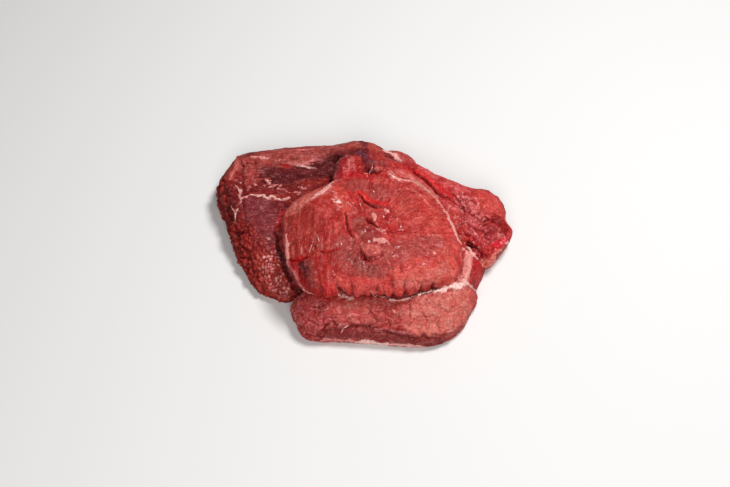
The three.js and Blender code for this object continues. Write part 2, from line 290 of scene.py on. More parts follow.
def relaxed(values, rounds):
    """Evens values out over the skin, each point towards the mean of its neighbours."""
    a, b = skin_edges.T
    values = values.copy()
    for _ in range(rounds):
        for column in values.T:
            spread = np.bincount(a, column[b], len(column)) + np.bincount(b, column[a], len(column))
            column += 0.5 * (spread / neighbours - column)
    return values


TOUCHING = 0.01  # skin below this height lies on the board
LOWEST_SIDE = 0.02  # and the rest of it stays above this one
KNOB_FOOT = (-9, 30, 36)  # where the knob runs into the disc, softer than the rest
KNOB_FOOT_REACH = 11
SOFTENING, KNOB_SOFTENING = 4, 60  # rounds of evening out
skin = skin_points()
on_board = skin[:, 2] < TOUCHING
knob_foot = fading(np.linalg.norm(skin - KNOB_FOOT, axis=1), KNOB_FOOT_REACH)[:, None]
skin = relaxed(skin, SOFTENING)
skin += knob_foot * (relaxed(skin, KNOB_SOFTENING) - skin)
skin_normal = lay_skin(skin)


# Where each lobe shows on the fused skin. A place belongs to the lobe whose own surface it lies on,
# and the borders are soft.
RIM_STEPS = 720
BORDER_SOFTENING = 5  # rounds of evening out


def level_in(lobe, points):
    """How far out in a lobe a place is: 1 on its surface, more outside it."""
    edge = rim_curve(lobe["rim"], RIM_STEPS) - np.array(lobe["middle"])
    away = points[:, :2] - np.array(lobe["middle"])
    turn = np.arctan2(edge[:, 1], edge[:, 0])
    order = np.argsort(turn)
    out = np.interp(
        np.arctan2(away[:, 1], away[:, 0]), turn[order], np.hypot(*edge[order].T), period=2 * math.pi
    )
    rise = points[:, 2] - lobe["waist"]
    limit = np.where(rise > 0, lobe["top"](points[:, 0], points[:, 1]), lobe["keel"]) - lobe["waist"]
    return (np.hypot(*away.T) / out) ** lobe["flatness"] + (rise / limit) ** 2


levels = np.array([level_in(lobe, skin) for lobe in LOBES.values()])
nearest_lobe = np.eye(len(LOBES))[levels.argmin(axis=0)]
on_lobe = dict(zip(LOBES, relaxed(nearest_lobe, BORDER_SOFTENING).T))


# Unevenness of raw muscle: lumps, streaks and packed bundle ends. Each is worked out from the place
# and a seed, so that none depends on another.
def scatter(i, j, k, seed):
    """A number from 0 to 1 for each cell of a grid, with no order in it."""
    mixed = np.sin(i * 127.1 + j * 311.7 + k * 74.7 + seed * 53.3) * 43758.5453
    return mixed - np.floor(mixed)


def mottle(points, size, seed):
    """Soft lumps from -1 to 1. size is a lump's width, or its widths along X, Y and Z."""
    q = points / np.array(size, float)
    cell = np.floor(q)
    w = q - cell
    w = w * w * (3 - 2 * w)
    value = np.zeros(len(points))
    for corner in np.ndindex(2, 2, 2):
        share = np.prod(np.where(corner, w, 1 - w), axis=1)
        value += share * scatter(*(cell + corner).T, seed)
    return 2 * value - 1


def rough(points, size, seed):
    """Lumps with finer lumps on them, from about -1 to 1."""
    size = np.array(size, float)
    return sum(mottle(points, size / 2**n, seed + n) / 1.6**n for n in range(3)) / 1.6


def bundles(points, size, seed, disorder=1.0):
    """Packed bundle ends: the gap to the next one (0 on a border), and each one's number, 0 to 1."""
    q = points / np.array(size, float)
    base = np.floor(q)
    nearest = np.full(len(points), 9.0)
    second = np.full(len(points), 9.0)
    number = np.zeros(len(points))
    for step in np.ndindex(3, 3, 3):
        cell = base + np.array(step) - 1
        astray = np.stack([scatter(*cell.T, seed + axis) for axis in range(3)], axis=1) - 0.5
        heart = cell + 0.5 + disorder * astray
        away = np.linalg.norm(heart - q, axis=1)
        closer = away < nearest
        second = np.where(closer, nearest, np.minimum(second, away))
        number = np.where(closer, scatter(*cell.T, seed + 7), number)
        nearest = np.where(closer, away, nearest)
    return second - nearest, number


# The camera stands where the photograph was taken, 52 degrees above the board. Features of the flesh
# are placed by the pixel where they show in its frame, carried from the camera onto the flesh.
CAMERA_TILT = math.radians(52)
CAMERA_DISTANCE = 900
CAMERA_AIM = np.array([2.3, -6.0, 16.0])
CAMERA_LENS = 71.2
SENSOR_WIDTH = 36
PICTURE_WIDTH, PICTURE_HEIGHT = 730, 487
VIEW_AHEAD = np.array([0, math.cos(CAMERA_TILT), -math.sin(CAMERA_TILT)])
VIEW_UP = np.array([0, math.sin(CAMERA_TILT), math.cos(CAMERA_TILT)])
CAMERA_PLACE = CAMERA_AIM - CAMERA_DISTANCE * VIEW_AHEAD


def line_of_sight(u, v):
    """The direction from the camera through a pixel."""
    pixel = SENSOR_WIDTH / CAMERA_LENS / PICTURE_WIDTH
    across, down = (u - PICTURE_WIDTH / 2) * pixel, (v - PICTURE_HEIGHT / 2) * pixel
    ray = VIEW_AHEAD + np.array([across, 0, 0]) - down * VIEW_UP
    return ray / np.linalg.norm(ray)


def on_surface(tree, u, v):
    """The place on a surface that shows at pixel u, v."""
    ray = line_of_sight(u, v)
    place = tree.ray_cast(Vector(CAMERA_PLACE), Vector(ray))[0]
    if place is None:
        place = tree.find_nearest(Vector(CAMERA_PLACE + CAMERA_DISTANCE * ray))[0]
    return np.array(place)


def surface_tree(points):
    """The skin's surface with its points at these places, ready to be looked at."""
    faces = [list(face.vertices) for face in flesh.data.polygons]
    return BVHTree.FromPolygons(points.tolist(), faces)


smooth_flesh = surface_tree(skin)
wander = np.stack([mottle(skin, 3.4, seed=40 + axis) for axis in range(3)], axis=1)
wander += 0.6 * np.stack([mottle(skin, 1.7, seed=50 + axis) for axis in range(3)], axis=1)
patchy = rough(skin, 4, seed=60)
STROKE_REACH = 30  # skin further than this from a stroke isn't touched by it


def to_stroke(pixels, ragged):
    """For each skin point: the distance to a stroke, the share of the way along it, and the side.

    The side is 1 to the left of the stroke's direction, seen from above, and -1 to its right."""
    line = np.array([on_surface(smooth_flesh, u, v) for u, v in pixels])
    low, high = line.min(axis=0) - STROKE_REACH, line.max(axis=0) + STROKE_REACH
    near = np.all((skin > low) & (skin < high), axis=1)
    points = (skin + ragged * wander)[near]
    best, share, side = np.full(len(points), FAR_OFF), np.zeros(len(points)), np.zeros(len(points))
    lengths = np.linalg.norm(np.diff(line, axis=0), axis=1)
    walked = np.concatenate([[0], np.cumsum(lengths)])
    for i, (a, b) in enumerate(zip(line, line[1:])):
        leg = b - a
        t = np.clip((points - a) @ leg / (leg @ leg), 0, 1)
        away = points - a - t[:, None] * leg
        nearer = np.linalg.norm(away, axis=1) < best
        best = np.where(nearer, np.linalg.norm(away, axis=1), best)
        share = np.where(nearer, (walked[i] + t * lengths[i]) / walked[-1], share)
        side = np.where(nearer, np.sign(leg[0] * away[:, 1] - leg[1] * away[:, 0]), side)
    distance, along, sides = np.full(len(skin), FAR_OFF), np.zeros(len(skin)), np.zeros(len(skin))
    distance[near], along[near], sides[near] = best, share, side
    return distance, along, sides


def zone(pixels, width, ragged=1.0):
    """An area: 1 within about a width of a stroke, fading to 0 outside it."""
    return 1 - smooth(to_stroke(pixels, ragged)[0], 0.75 * width, 1.25 * width)


def zones_of(areas):
    """The areas of a table, by their names."""
    return {name: zone(*area) for name, area in areas.items()}


def packed_ends(size, straying, seed, height, valley, sink, step, turned=0.0, disorder=1.0):
    """Packed bundle ends over the skin: their gaps, their numbers, and how high they stand.

    Each rises out of its valleys to a height over a sunk ground, and its own level is up to half a
    step off. turned is the angle of their rows, and straying is how far their borders wander."""
    c, s = math.cos(turned), math.sin(turned)
    rows = skin @ np.array([[c, -s, 0], [s, c, 0], [0, 0, 1]]).T
    ends, number = bundles(rows + straying * wander, size, seed, disorder)
    return ends, number, height * smooth(ends, 0, valley) - sink + step * (number - 0.5)


def mark(pixels, width, ragged=0.6):
    """A thin stroke, uneven along its length and thinner towards its ends."""
    distance, along, _ = to_stroke(pixels, ragged)
    taper = 0.4 + 0.6 * np.sin(math.pi * np.clip(along, 0.06, 0.94)) ** 0.5
    width = width * taper * (1 + 0.8 * patchy)
    return 1 - smooth(distance, 0.35 * width, 1.15 * width + 0.25)

# The colours of the flesh, as red, green and blue of 255 in even light, and the grounds of the lobes:
# each is mottled from one colour to another. Several dark reds here are also laid as painted shade in
# slits, cracks, gaps and hollows and on sides turned from the light, and one bright red carries a
# painted highlight on lit edges.
TINTS = {
    "bright_red": (198, 48, 50), "blood_and_shade": (140, 16, 20), "gap": (84, 20, 22),
    "deep_red": (150, 36, 38), "orange_red": (216, 88, 74), "pale_orange": (216, 118, 102),
    "brown": (168, 84, 76),
    "grey_brown": (128, 72, 66), "dark_purple": (84, 30, 40), "purple": (108, 42, 52),
    "mauve": (136, 66, 68), "slate": (92, 66, 78), "pink": (222, 128, 122), "salmon": (182, 78, 66),
    "wine": (118, 34, 40), "fat": (244, 186, 178), "film": (220, 142, 136), "magenta": (208, 42, 58),
    "pale_fat": (232, 160, 152), "old_red": (154, 58, 50), "shaded_dark_red": (108, 32, 28),
    "slit_red": (176, 10, 22), "brown_salmon": (170, 82, 74), "orange_fat": (252, 140, 120),
    "rim_orange": (208, 84, 76), "red_with_highlight": (216, 58, 56), "membrane": (206, 138, 132),
    "sinew_grey": (200, 142, 130), "coral": (232, 128, 118), "taupe": (146, 78, 70),
    "membrane_brown": (92, 50, 44), "black_shadow": (46, 12, 14), "white_fat": (255, 216, 208),
    "crimson": (164, 30, 40),
}
COVERS = ("fat", "film", "pale_fat", "membrane", "sinew_grey", "white_fat")  # these lie over the meat
GROUNDS = {
    "bed": ((150, 52, 48), (120, 40, 38)),
    "flap": ((158, 60, 54), (126, 42, 40)),
    "crest": ((156, 58, 56), (118, 42, 46)),
    "rear": ((198, 92, 86), (170, 66, 62)),
    "right": ((206, 88, 84), (172, 58, 58)),
    "flank": ((188, 66, 64), (150, 46, 48)),
    "slab": ((190, 84, 78), (158, 60, 56)),
    "disc": ((198, 82, 74), (176, 62, 58)),
    "knob": ((190, 72, 76), (150, 42, 48)),
}
SHINE = 0.024  # light that the wet skin itself adds to a colour
COOLER = 1.12  # how much more blue red meat gives back than its colour in lamp light
SHOWN_THROUGH = 0.35  # how much of a film's colour its ground takes on


def light_of(colour):
    """The light that meat under its wet skin gives back, where it shows a colour in even light."""
    light = ((np.array(colour) / 255 + 0.055) / 1.055) ** 2.4
    return np.maximum(light - SHINE, 0.3 * light) * [1, 1, COOLER]


LUMPS = ((0.4, 11, 3), (0.25, 4.5, 6), (0.2, 2.4, 8))  # height, width and seed
relief = sum(height * rough(skin, width, seed) for height, width, seed in LUMPS)  # out of the skin
push = np.zeros_like(skin)  # along the skin
fat = np.zeros(len(skin))
cover = np.zeros_like(skin) + light_of(TINTS["fat"])
tint = np.zeros_like(skin)
for lobe, (main, other) in GROUNDS.items():
    share = smooth(rough(skin, 5, seed=9), -0.5, 0.5)[:, None]
    tint += on_lobe[lobe][:, None] * (light_of(main) * (1 - share) + light_of(other) * share)


def paint(name, share):
    """Colours the meat, or lays a film of fat or membrane over it."""
    global fat
    colour = light_of(TINTS[name])
    if name in COVERS:
        colour = colour / [1, 1, COOLER]
        fat = np.maximum(fat, share)
        cover[:] += (colour - cover) * smooth(share, 0, 0.2)[:, None]
        share = SHOWN_THROUGH * share
    else:
        fat = fat * (1 - share)
    tint[:] += (colour - tint) * share[:, None]


def uneven(area, height, size, seed):
    """Lumps or streaks over an area: their height, their width, and the seed that places them."""
    global relief
    relief = relief + height * area * rough(skin, size, seed)


def paint_zones(zones):
    """Patches of colour: each with its half width, its colour, and how far that takes over."""
    for pixels, width, name, share in zones.values():
        paint(name, share * zone(pixels, width))


def cut_marks(marks):
    """Slits, folds and strands: each with its half width, its rise or depth, and its colour."""
    global relief
    for pixels, width, rise, name, share in marks.values():
        here = mark(pixels, width)
        relief = relief + rise * here
        paint(name, share * here)


LIP_EDGE = -0.3, 0.3  # a lip's edge is this wide, across its line
LIP_LEAN_REACH, LIP_SHADOW_REACH = 1.8, 1.1
LIP_UNDERCUT = 0.6  # how deep its shadow is cut, as a share of its rise


def raise_lips(lips):
    """Torn edges that stand up to the left of a line and lean over it, with a shadow cut and painted
    under them.
    """
    global relief
    for pixels, rise, reach, lean in lips.values():
        distance, along, side = to_stroke(pixels, 0.35)
        taper = np.sin(math.pi * np.clip(along, 0, 1)) ** 0.4
        left = smooth(side * distance, *LIP_EDGE) * taper
        relief = relief + rise * left * fading(distance, reach)
        under = (1 - smooth(side * distance, *LIP_EDGE)) * taper * fading(distance, LIP_SHADOW_REACH)
        relief = relief - LIP_UNDERCUT * rise * under
        a, b = (on_surface(smooth_flesh, *pixels[end]) for end in (0, -1))
        right = np.array([b[1] - a[1], a[0] - b[0], 0]) / np.hypot(*(b - a)[:2])
        push[:] += (lean * left * fading(distance, LIP_LEAN_REACH))[:, None] * right
        # painted shadow: the cut under each lip is painted dark red as well
        paint("blood_and_shade", 0.85 * under)


FLAP_LEVEL = 6  # skin further above or below a flap isn't under it
FLAP_LEAN_REACH, FLAP_SHADOW_REACH, FLAP_UNDERCUT = 1.6, 1.2, 0.9


def raise_flap(pixels, rise, lean, faces):
    """A torn flap of meat, by its outline: flush at its back, standing up where it faces."""
    global relief
    edge = np.array([on_surface(smooth_flesh, u, v) for u, v in pixels])
    x, y = (skin + 0.25 * wander)[:, :2].T
    crossed = np.zeros(len(skin), int)
    for (ax, ay, _), (bx, by, _) in zip(edge, np.roll(edge, -1, axis=0)):
        crossed += ((ay > y) != (by > y)) & (x < ax + (bx - ax) * (y - ay) / (by - ay))
    level = np.abs(skin[:, 2] - edge[:, 2].mean()) < FLAP_LEVEL
    within = (crossed % 2 == 1) & level
    rim = to_line(x, y, [*edge[:, :2], edge[0, :2]])
    ahead = edge[:, :2] @ faces
    forward = smooth(np.stack([x, y], axis=1) @ faces, ahead.min(), ahead.max())
    relief = relief + rise * within * smooth(rim, -0.3, 0.7) * (0.15 + 0.85 * forward)
    push[:, :2] += (lean * within * forward * fading(rim, FLAP_LEAN_REACH))[:, None] * faces
    under = ~within * level * forward * fading(rim, FLAP_SHADOW_REACH)
    relief = relief - FLAP_UNDERCUT * under
    # painted shadow: the ground in front of the flap's facing edges is painted dark red
    paint("blood_and_shade", np.minimum(1, 1.3 * under))


# The flap: the long left end of the muscle, lying flat. Dark membrane covers its top, torn along a
# white edge; in front of that it is cut across the grain, so that its bundles stand out as lumps.
FLAP_ZONES = {
    "back": ([(252, 166), (275, 158), (300, 154), (325, 150), (348, 146)], 8, "brown_salmon", 0.9),
    "purple band": ([(268, 176), (290, 177), (310, 173), (328, 167), (340, 162)],
                    7, "dark_purple", 0.8),
    "mottled": ([(241, 186), (262, 187), (285, 190), (300, 188)], 5.5, "wine", 0.6),
    "under the line": ([(248, 203), (264, 205), (281, 206)], 4, "purple", 0.7),
    "mauve": ([(254, 208), (266, 220), (264, 238)], 10, "mauve", 0.8),
    "grey spot": ([(267, 236), (270, 240)], 2.6, "grey_brown", 0.6),
    "left dark": ([(236, 190), (240, 205)], 5, "wine", 0.6),
    # painted shade: the left lumps face away from the light and are painted darker for it
    "left lumps": ([(224, 196), (229, 214), (235, 236)], 7, "shaded_dark_red", 0.85),
    "left orange": ([(221, 188), (223, 200), (226, 213)], 2.2, "salmon", 0.6),
    "corner": ([(238, 159), (234, 168), (228, 178)], 3, "salmon", 0.75),
    "behind the corner": ([(246, 163), (252, 170), (249, 180)], 5, "brown_salmon", 0.7),
    "cobbles": ([(240, 240), (254, 258), (272, 284)], 12, "old_red", 0.55),
    "cobbles front": ([(262, 262), (272, 276), (280, 290)], 8, "salmon", 0.6),
    "tip": ([(279, 289), (288, 296)], 4, "brown_salmon", 0.6),
    "beside the gap": ([(281, 216), (279, 226), (281, 245), (285, 258)], 2.2, "salmon", 0.7),
    "strip": ([(284, 257), (289, 268), (294, 280), (299, 290)], 3.0, "membrane_brown", 0.95),
    "bright beside": ([(284, 212), (281, 218)], 2.0, "crimson", 0.9),
    "bright beside 2": ([(279, 222), (277, 230)], 1.8, "crimson", 0.85),
}
FLAP_MARKS = {
    "white edge": ([(245, 197), (250, 194.5), (256, 195.5), (263, 195.5), (266, 198), (269, 199),
                    (271, 196), (276, 198.5), (283, 200), (289, 197.5)], 0.9, 0.5, "fat", 0.9),
    "edge end": ([(282, 200), (289, 198)], 1.3, 0.3, "pale_fat", 0.8),
    "edge left": ([(241, 200), (239, 196), (241, 190), (236, 186)], 0.8, 0.3, "pale_fat", 0.8),
    "edge left 2": ([(240, 203), (242, 198), (246, 196)], 0.7, 0.3, "film", 0.7),
    "white fork": ([(232, 207), (235, 213), (235, 218), (234, 222)], 0.8, 0.3, "pale_fat", 0.8),
    "fork arm": ([(238, 208), (235, 213)], 0.7, 0.3, "film", 0.8),
    "white blob": ([(267, 180), (270, 184)], 1.1, 0.4, "pale_fat", 0.8),
    "pink fleck": ([(269, 187), (275, 186)], 1.1, 0.5, "film", 0.7),
    "pink fleck 2": ([(278, 188), (285, 189)], 1.0, 0.4, "film", 0.5),
    "pink fleck 3": ([(247, 191), (250, 186)], 0.9, 0.5, "pink", 0.6),
    "pink strip": ([(255, 180), (262, 179), (270, 178)], 1.0, 0.4, "salmon", 0.7),
    "band streak": ([(296, 166), (306, 167), (316, 168)], 0.7, 0.3, "pale_fat", 0.75),
    "band streak 2": ([(301, 163), (312, 164)], 0.5, 0.2, "film", 0.5),
    "back streak": ([(250, 157), (258, 157), (268, 159)], 1.1, 0.3, "pale_fat", 0.7),
    "back streak 2": ([(276, 161), (281, 160), (286, 160)], 0.7, 0.3, "film", 0.5),
    # painted shade in the nick
    "nick": ([(280, 164), (284, 165.5), (289, 167)], 1.0, -0.5, "slit_red", 0.95),
    # painted shade in the corner's fold
    "corner fold": ([(240, 161), (243, 166), (241, 171), (244, 178), (242, 184)],
                    0.9, -1.4, "wine", 0.8),
    "corner ridge": ([(238, 157), (235, 168), (229, 180)], 1.8, 0.9, "coral", 0.35),
    "lumps behind": ([(249, 162), (251, 172), (248, 181)], 1.8, 1.0, "salmon", 0.5),
    # painted shade in the groove behind the lumps
    "behind the lumps": ([(254, 160), (256, 170), (254, 180)], 0.8, -0.8, "wine", 0.6),
    # painted shadow in the gap where the disc hangs over the flap
    "gap": ([(275, 232), (277, 240), (279, 250), (282, 262), (285, 270), (290, 280), (297, 294)],
            1.5, -2.2, "black_shadow", 0.95),
    # painted shade in the cracks between the left lumps and along their edge
    "left crack": ([(226, 234), (234, 232), (245, 233)], 1.0, -1.8, "gap", 0.8),
    "left crack 2": ([(225, 205), (229, 214), (231, 224)], 0.9, -1.2, "gap", 0.7),
    "lump edge": ([(244, 184), (243, 205), (246, 222), (248, 236)], 1.0, -0.7, "gap", 0.4),
    "grey fleck": ([(267, 238), (269, 240)], 0.6, 0.3, "pale_fat", 0.8),
}
FLAP_AREAS = {
    "back strip": ([(250, 166), (275, 160), (300, 157), (325, 152), (348, 147)], 9, 2),
    "cobbles": ([(238, 236), (250, 256), (268, 280), (284, 292)], 13, 2),
    "lumps": ([(219, 186), (224, 212), (232, 238), (238, 262), (250, 288)], 8, 1.5),
    "mottled": ([(241, 184), (262, 184), (285, 188), (298, 190)], 5, 1.5),
    "shiny front": ([(270, 262), (275, 272), (280, 284)], 7.5, 1.5),
    "grainy": ([(254, 210), (266, 222), (264, 236)], 9, 2),
}
CUT_SIDE_HEIGHT, CUT_SIDE_BACK = 13, 60  # the cut side goes up to this height, and back to this place
CUT_SIDE_TURN = math.radians(60)  # how far it is turned from straight across
flap_area = zones_of(FLAP_AREAS)
back_streaks = rough(skin, (9, 1.5, 1.8), seed=16)
back_strip, lumpy, shiny_front = (flap_area[name] for name in ("back strip", "lumps", "shiny front"))
grain_ends, grain_number, cobbles = packed_ends(
    (3.5, 2.5, 2.7), straying=0.35, seed=11, height=1.2, valley=0.6, sink=0.6, step=0.9,
    turned=CUT_SIDE_TURN, disorder=0.6
)
big_ends, big_number, lumps = packed_ends(
    (6.2, 6.6, 5.4), straying=1.1, seed=12, height=1.5, valley=0.3, sink=1.1, step=0.9
)
wall = on_lobe["flap"] * smooth(CUT_SIDE_HEIGHT - skin[:, 2], 0, 5)
wall = wall * smooth(CUT_SIDE_BACK - skin[:, 1], 0, 14)
cobbled = np.maximum(flap_area["cobbles"], wall)
top_of_flap = on_lobe["flap"] * (1 - np.maximum(cobbled, lumpy))
relief = relief + cobbled * cobbles
uneven(cobbled, 0.5, (7, 3, 5), seed=17)
relief = relief + lumpy * (lumps + 0.7 * rough(skin, 5, seed=14))
top_streaks = 0.4 * rough(skin, (7, 2.4, 2.4), seed=15) + 0.3 * back_strip * back_streaks
relief = relief + top_of_flap * top_streaks
paint_zones(FLAP_ZONES)
paint("film", 0.8 * flap_area["mottled"] * smooth(rough(skin, (4, 1.8, 2), seed=20), 0.22, 0.4))
# painted shade in the gaps between the lumps
paint("gap", 0.6 * lumpy * (1 - smooth(big_ends, 0, 0.3)))
paint("old_red", 0.6 * lumpy * smooth(big_number, 0.35, 1) * smooth(big_ends, 0.2, 0.6))
paint("pink", 0.65 * back_strip * smooth(back_streaks, 0.1, 0.6))
paint("film", 0.7 * back_strip * smooth(back_streaks, 0.5, 0.7))
paint("wine", 0.45 * back_strip * smooth(-back_streaks, 0.1, 0.6))
in_front = top_of_flap * (1 - back_strip)
paint("purple", 0.5 * in_front * smooth(-rough(skin, (6, 2.4, 3), seed=18), 0.1, 0.5))
paint("brown_salmon", 0.3 * in_front * smooth(rough(skin, (5, 2, 3), seed=19), 0.15, 0.5))
# painted shade in the gaps between the cobbles
paint("gap", 0.55 * cobbled * (1 - smooth(grain_ends, 0, 0.25)) * smooth(patchy, -0.6, 0.2))
bead_ends, bead_number, beads = packed_ends(
    (2.5, 2.1, 2.3), straying=0.5, seed=13, height=0.6, valley=0.5, sink=0.3, step=0
)
relief = relief + shiny_front * beads
# painted shade in the gaps between the beads, and painted highlights on their tops
paint("blood_and_shade", 0.5 * shiny_front * (1 - smooth(bead_ends, 0, 0.25)))
paint("pink", 0.9 * shiny_front * smooth(bead_number, 0.1, 0.35) * smooth(bead_ends, 0.08, 0.35))
paint("pale_fat", 0.9 * shiny_front * smooth(bead_number, 0.45, 0.55) * smooth(bead_ends, 0.22, 0.5))
paler_ends = smooth(grain_number, 0.3, 0.9) * smooth(grain_ends, 0.2, 0.6)
paint("brown_salmon", 0.5 * cobbled * (1 - shiny_front) * paler_ends)
paint("membrane", 0.42 * flap_area["grainy"] * smooth(rough(skin, 1.5, seed=24), 0.25, 0.6))
cut_marks(FLAP_MARKS)

# The back: the crest and the knob at the top of the fold, and the rear lobe with its own fat. Purple
# membrane lies between them, with a dark hole that a white thread hangs over.
BACK_ZONES = {
    "crest back": ([(350, 145), (362, 141), (374, 144), (384, 149)], 4.5, "salmon", 0.85),
    "crest purple": ([(338, 160), (348, 153), (360, 151), (368, 156)], 4.5, "purple", 0.75),
    "purple right of knob": ([(362, 152), (365, 158), (369, 164)], 4.4, "purple", 0.85),
    "bluish": ([(361, 153), (365, 157), (368, 161)], 2.4, "slate", 0.45),
    "red behind": ([(376, 157), (388, 162), (398, 168)], 5.5, "crimson", 0.45),
    "red behind 2": ([(374, 152), (386, 156)], 2.5, "deep_red", 0.5),
    "knob red": ([(347, 160), (350, 168), (352, 176)], 6, "bright_red", 0.55),
    "knob light": ([(350, 160), (352, 170)], 2.5, "pink", 0.25),
    "knob right": ([(358, 159), (360, 166), (359, 174)], 3.2, "crimson", 0.6),
    "beside the hole": ([(374, 162), (382, 164.5)], 2.8, "mauve", 0.6),
    # painted shade of the hole, laid on its front
    "hole front": ([(366, 172), (376, 172.5), (385, 171)], 2.6, "slit_red", 0.75),
}
BACK_MARKS = {
    "rear fat": ([(384, 151), (389, 152.5), (395, 155), (401, 160.5)], 2.9, 0.4, "fat", 0.9),
    # painted shade in the hole, dark red to black
    "hole": ([(363, 167), (370, 169.5), (379, 169)], 4.0, -3.6, "blood_and_shade", 0.95),
    "hole deep": ([(366, 167), (376, 169.5)], 1.8, -1.0, "black_shadow", 0.8),
    # painted shade in the crease above the hole
    "above the hole": ([(366, 158.5), (374, 159.5), (384, 160)], 1.0, -0.5, "blood_and_shade", 0.8),
    # painted shade of the hole on its front lip
    "hole red": ([(364, 172.5), (373, 173.5), (382, 170.5)], 2.0, 0.3, "slit_red", 0.95),
    "hole strand": ([(376, 166.5), (380, 168), (384, 170)], 0.7, 0.4, "coral", 0.8),
    # painted shade in the groove at the knob's right foot
    "knob foot right": ([(361, 156), (362, 165), (363, 172)], 1.0, -1.0, "wine", 0.7),
    "knob streak": ([(348, 159), (349, 170)], 0.7, 0.3, "pink", 0.35),
    "knob streak 2": ([(354, 158), (356, 172)], 0.7, 0.3, "pink", 0.35),
    # painted shade in the groove along the rear lobe
    "rear line": ([(384, 153), (396, 161), (408, 168), (415, 171)], 0.8, -0.9, "deep_red", 0.6),
}
uneven(on_lobe["crest"], 0.5, (8, 2.6, 2.6), seed=21)
knob_streaks = on_lobe["knob"] * rough(skin, (1.9, 7, 7), seed=22)
relief = relief + 0.7 * knob_streaks
uneven(on_lobe["rear"], 0.4, (5, 2.4, 2.4), seed=23)
paint_zones(BACK_ZONES)
knob_specks = on_lobe["knob"] * rough(skin, (2.2, 2.2, 1.4), seed=25)
paint("pink", 0.45 * smooth(knob_streaks, 0.15, 0.6))
paint("film", 0.55 * smooth(knob_specks, 0.3, 0.5))
paint("crimson", 0.75 * smooth(-knob_streaks, 0.1, 0.5))
cut_marks(BACK_MARKS)

# The right lobe: torn, granular meat around its cracks, ending in a bright tip with a little fat. A
# band of sinew parts it from the disc, and a torn edge stands up behind that band.
RIGHT_ZONES = {
    "band above": ([(400, 172), (412, 176), (424, 185), (434, 195)], 3.6, "coral", 0.4),
    "edge above": ([(400, 166), (418, 174), (432, 183), (446, 191)], 3.6, "bright_red", 0.4),
    "smooth back": ([(480, 198), (494, 206), (500, 218)], 7, "orange_red", 0.5),
    "granular": ([(464, 206), (474, 214), (466, 228)], 6, "pink", 0.3),
    "under the sinew": ([(452, 210), (458, 226), (464, 240)], 3.2, "orange_red", 0.5),
    "low red": ([(468, 232), (482, 240), (488, 250)], 6.5, "slit_red", 0.6),
    "deep patch": ([(496, 219), (501, 223), (504, 230)], 3.4, "blood_and_shade", 0.95),
    "dark behind": ([(486, 224), (494, 228), (488, 238)], 3, "wine", 0.5),
    "tip fat": ([(484, 262), (490, 265), (497, 261), (504, 253.5), (511, 244.5)],
                3.0, "orange_fat", 0.85),
    "tip": ([(495, 246), (502, 243.5), (509, 240)], 2.8, "magenta", 0.95),
    "tip light": ([(497, 234), (504, 237)], 2.0, "film", 0.35),
    "membrane": ([(467, 256), (466, 265), (462, 279)], 4.4, "membrane", 0.6),
    "membrane right": ([(471, 255), (470, 264), (466, 276)], 1.8, "film", 0.8),
    "above the membrane": ([(459, 246), (463, 252), (460, 262)], 2.4, "bright_red", 0.6),
    "flank": ([(476, 268), (480, 278), (476, 290)], 6, "bright_red", 0.5),
}
RIGHT_MARKS = {
    "sinew": ([(388, 172), (392, 176), (397, 179), (404, 180), (412, 181.5), (420, 185), (427, 190),
               (434, 196.5), (440, 204), (446, 213), (450, 222), (454, 231), (458, 240), (463, 248)],
              1.5, 0.5, "film", 0.8),
    "sinew start": ([(386, 171), (392, 176), (399, 179.5)], 1.5, 0.2, "film", 0.38),
    "sinew light": ([(392, 177), (399, 180), (406, 180.5), (414, 182.5)], 0.9, 0.2, "fat", 0.8),
    "sinew wide": ([(417, 184), (424, 187.5), (431, 193), (438, 201)],
                   2.4, 0.3, "sinew_grey", 0.85),
    "sinew light 2": ([(446, 213), (450, 222), (454, 231), (459, 241), (464, 249)], 1.7, 0.4,
                      "pale_fat", 0.95),
    "above the sinew": ([(404, 176), (414, 179), (424, 186), (432, 192.5)], 0.6, 0.3, "film", 0.6),
    "above the sinew 2": ([(398, 171), (410, 175), (420, 181)], 0.6, 0.3, "coral", 0.7),
    "along the sinew": ([(406, 188), (414, 191), (424, 199), (430, 206)], 0.6, 0.3, "coral", 0.7),
    # painted shade in the groove below the sinew
    "below the sinew": ([(410, 184), (418, 188), (426, 194)], 0.8, -1.0, "deep_red", 0.8),
    # painted shade in the cracks and the crevice of the torn meat
    "crack": ([(462, 223), (468, 222), (473, 228), (480, 229), (486, 232), (488, 238), (490, 243)],
              0.9, -1.8, "blood_and_shade", 0.85),
    "crack 2": ([(462, 206), (465, 212), (464, 219)], 0.8, -1.2, "deep_red", 0.7),
    "crack 3": ([(480, 229), (487, 224), (494, 222)], 0.7, -1.0, "deep_red", 0.6),
    "crevice": ([(469, 242), (475, 247), (480, 253), (485, 261)], 1.2, -2.6, "gap", 0.95),
    "white strip": ([(467, 246), (472, 254), (478, 260), (485, 261)], 1.0, 0.7, "fat", 0.8),
    # painted shade in the membrane's fold
    "membrane fold": ([(463, 256), (463, 266), (460, 277)], 0.9, -0.8, "deep_red", 0.7),
    "membrane line": ([(465, 280), (469, 272), (470, 262), (467, 252)], 1.2, 0.4, "pale_fat", 0.8),
    # painted shade along the membrane's edge
    "membrane edge": ([(459, 248), (460, 264), (458, 280)], 0.9, -0.9, "deep_red", 0.6),
    "tip end": ([(509, 242), (512.5, 241)], 1.1, 0.4, "fat", 0.9),
    "speck": ([(463, 207), (467, 206)], 0.8, 0.5, "film", 0.6),
    "speck 2": ([(456, 215), (455, 219)], 0.8, 0.5, "film", 0.6),
    "speck 3": ([(475, 214), (478, 217)], 0.7, 0.5, "film", 0.5),
}
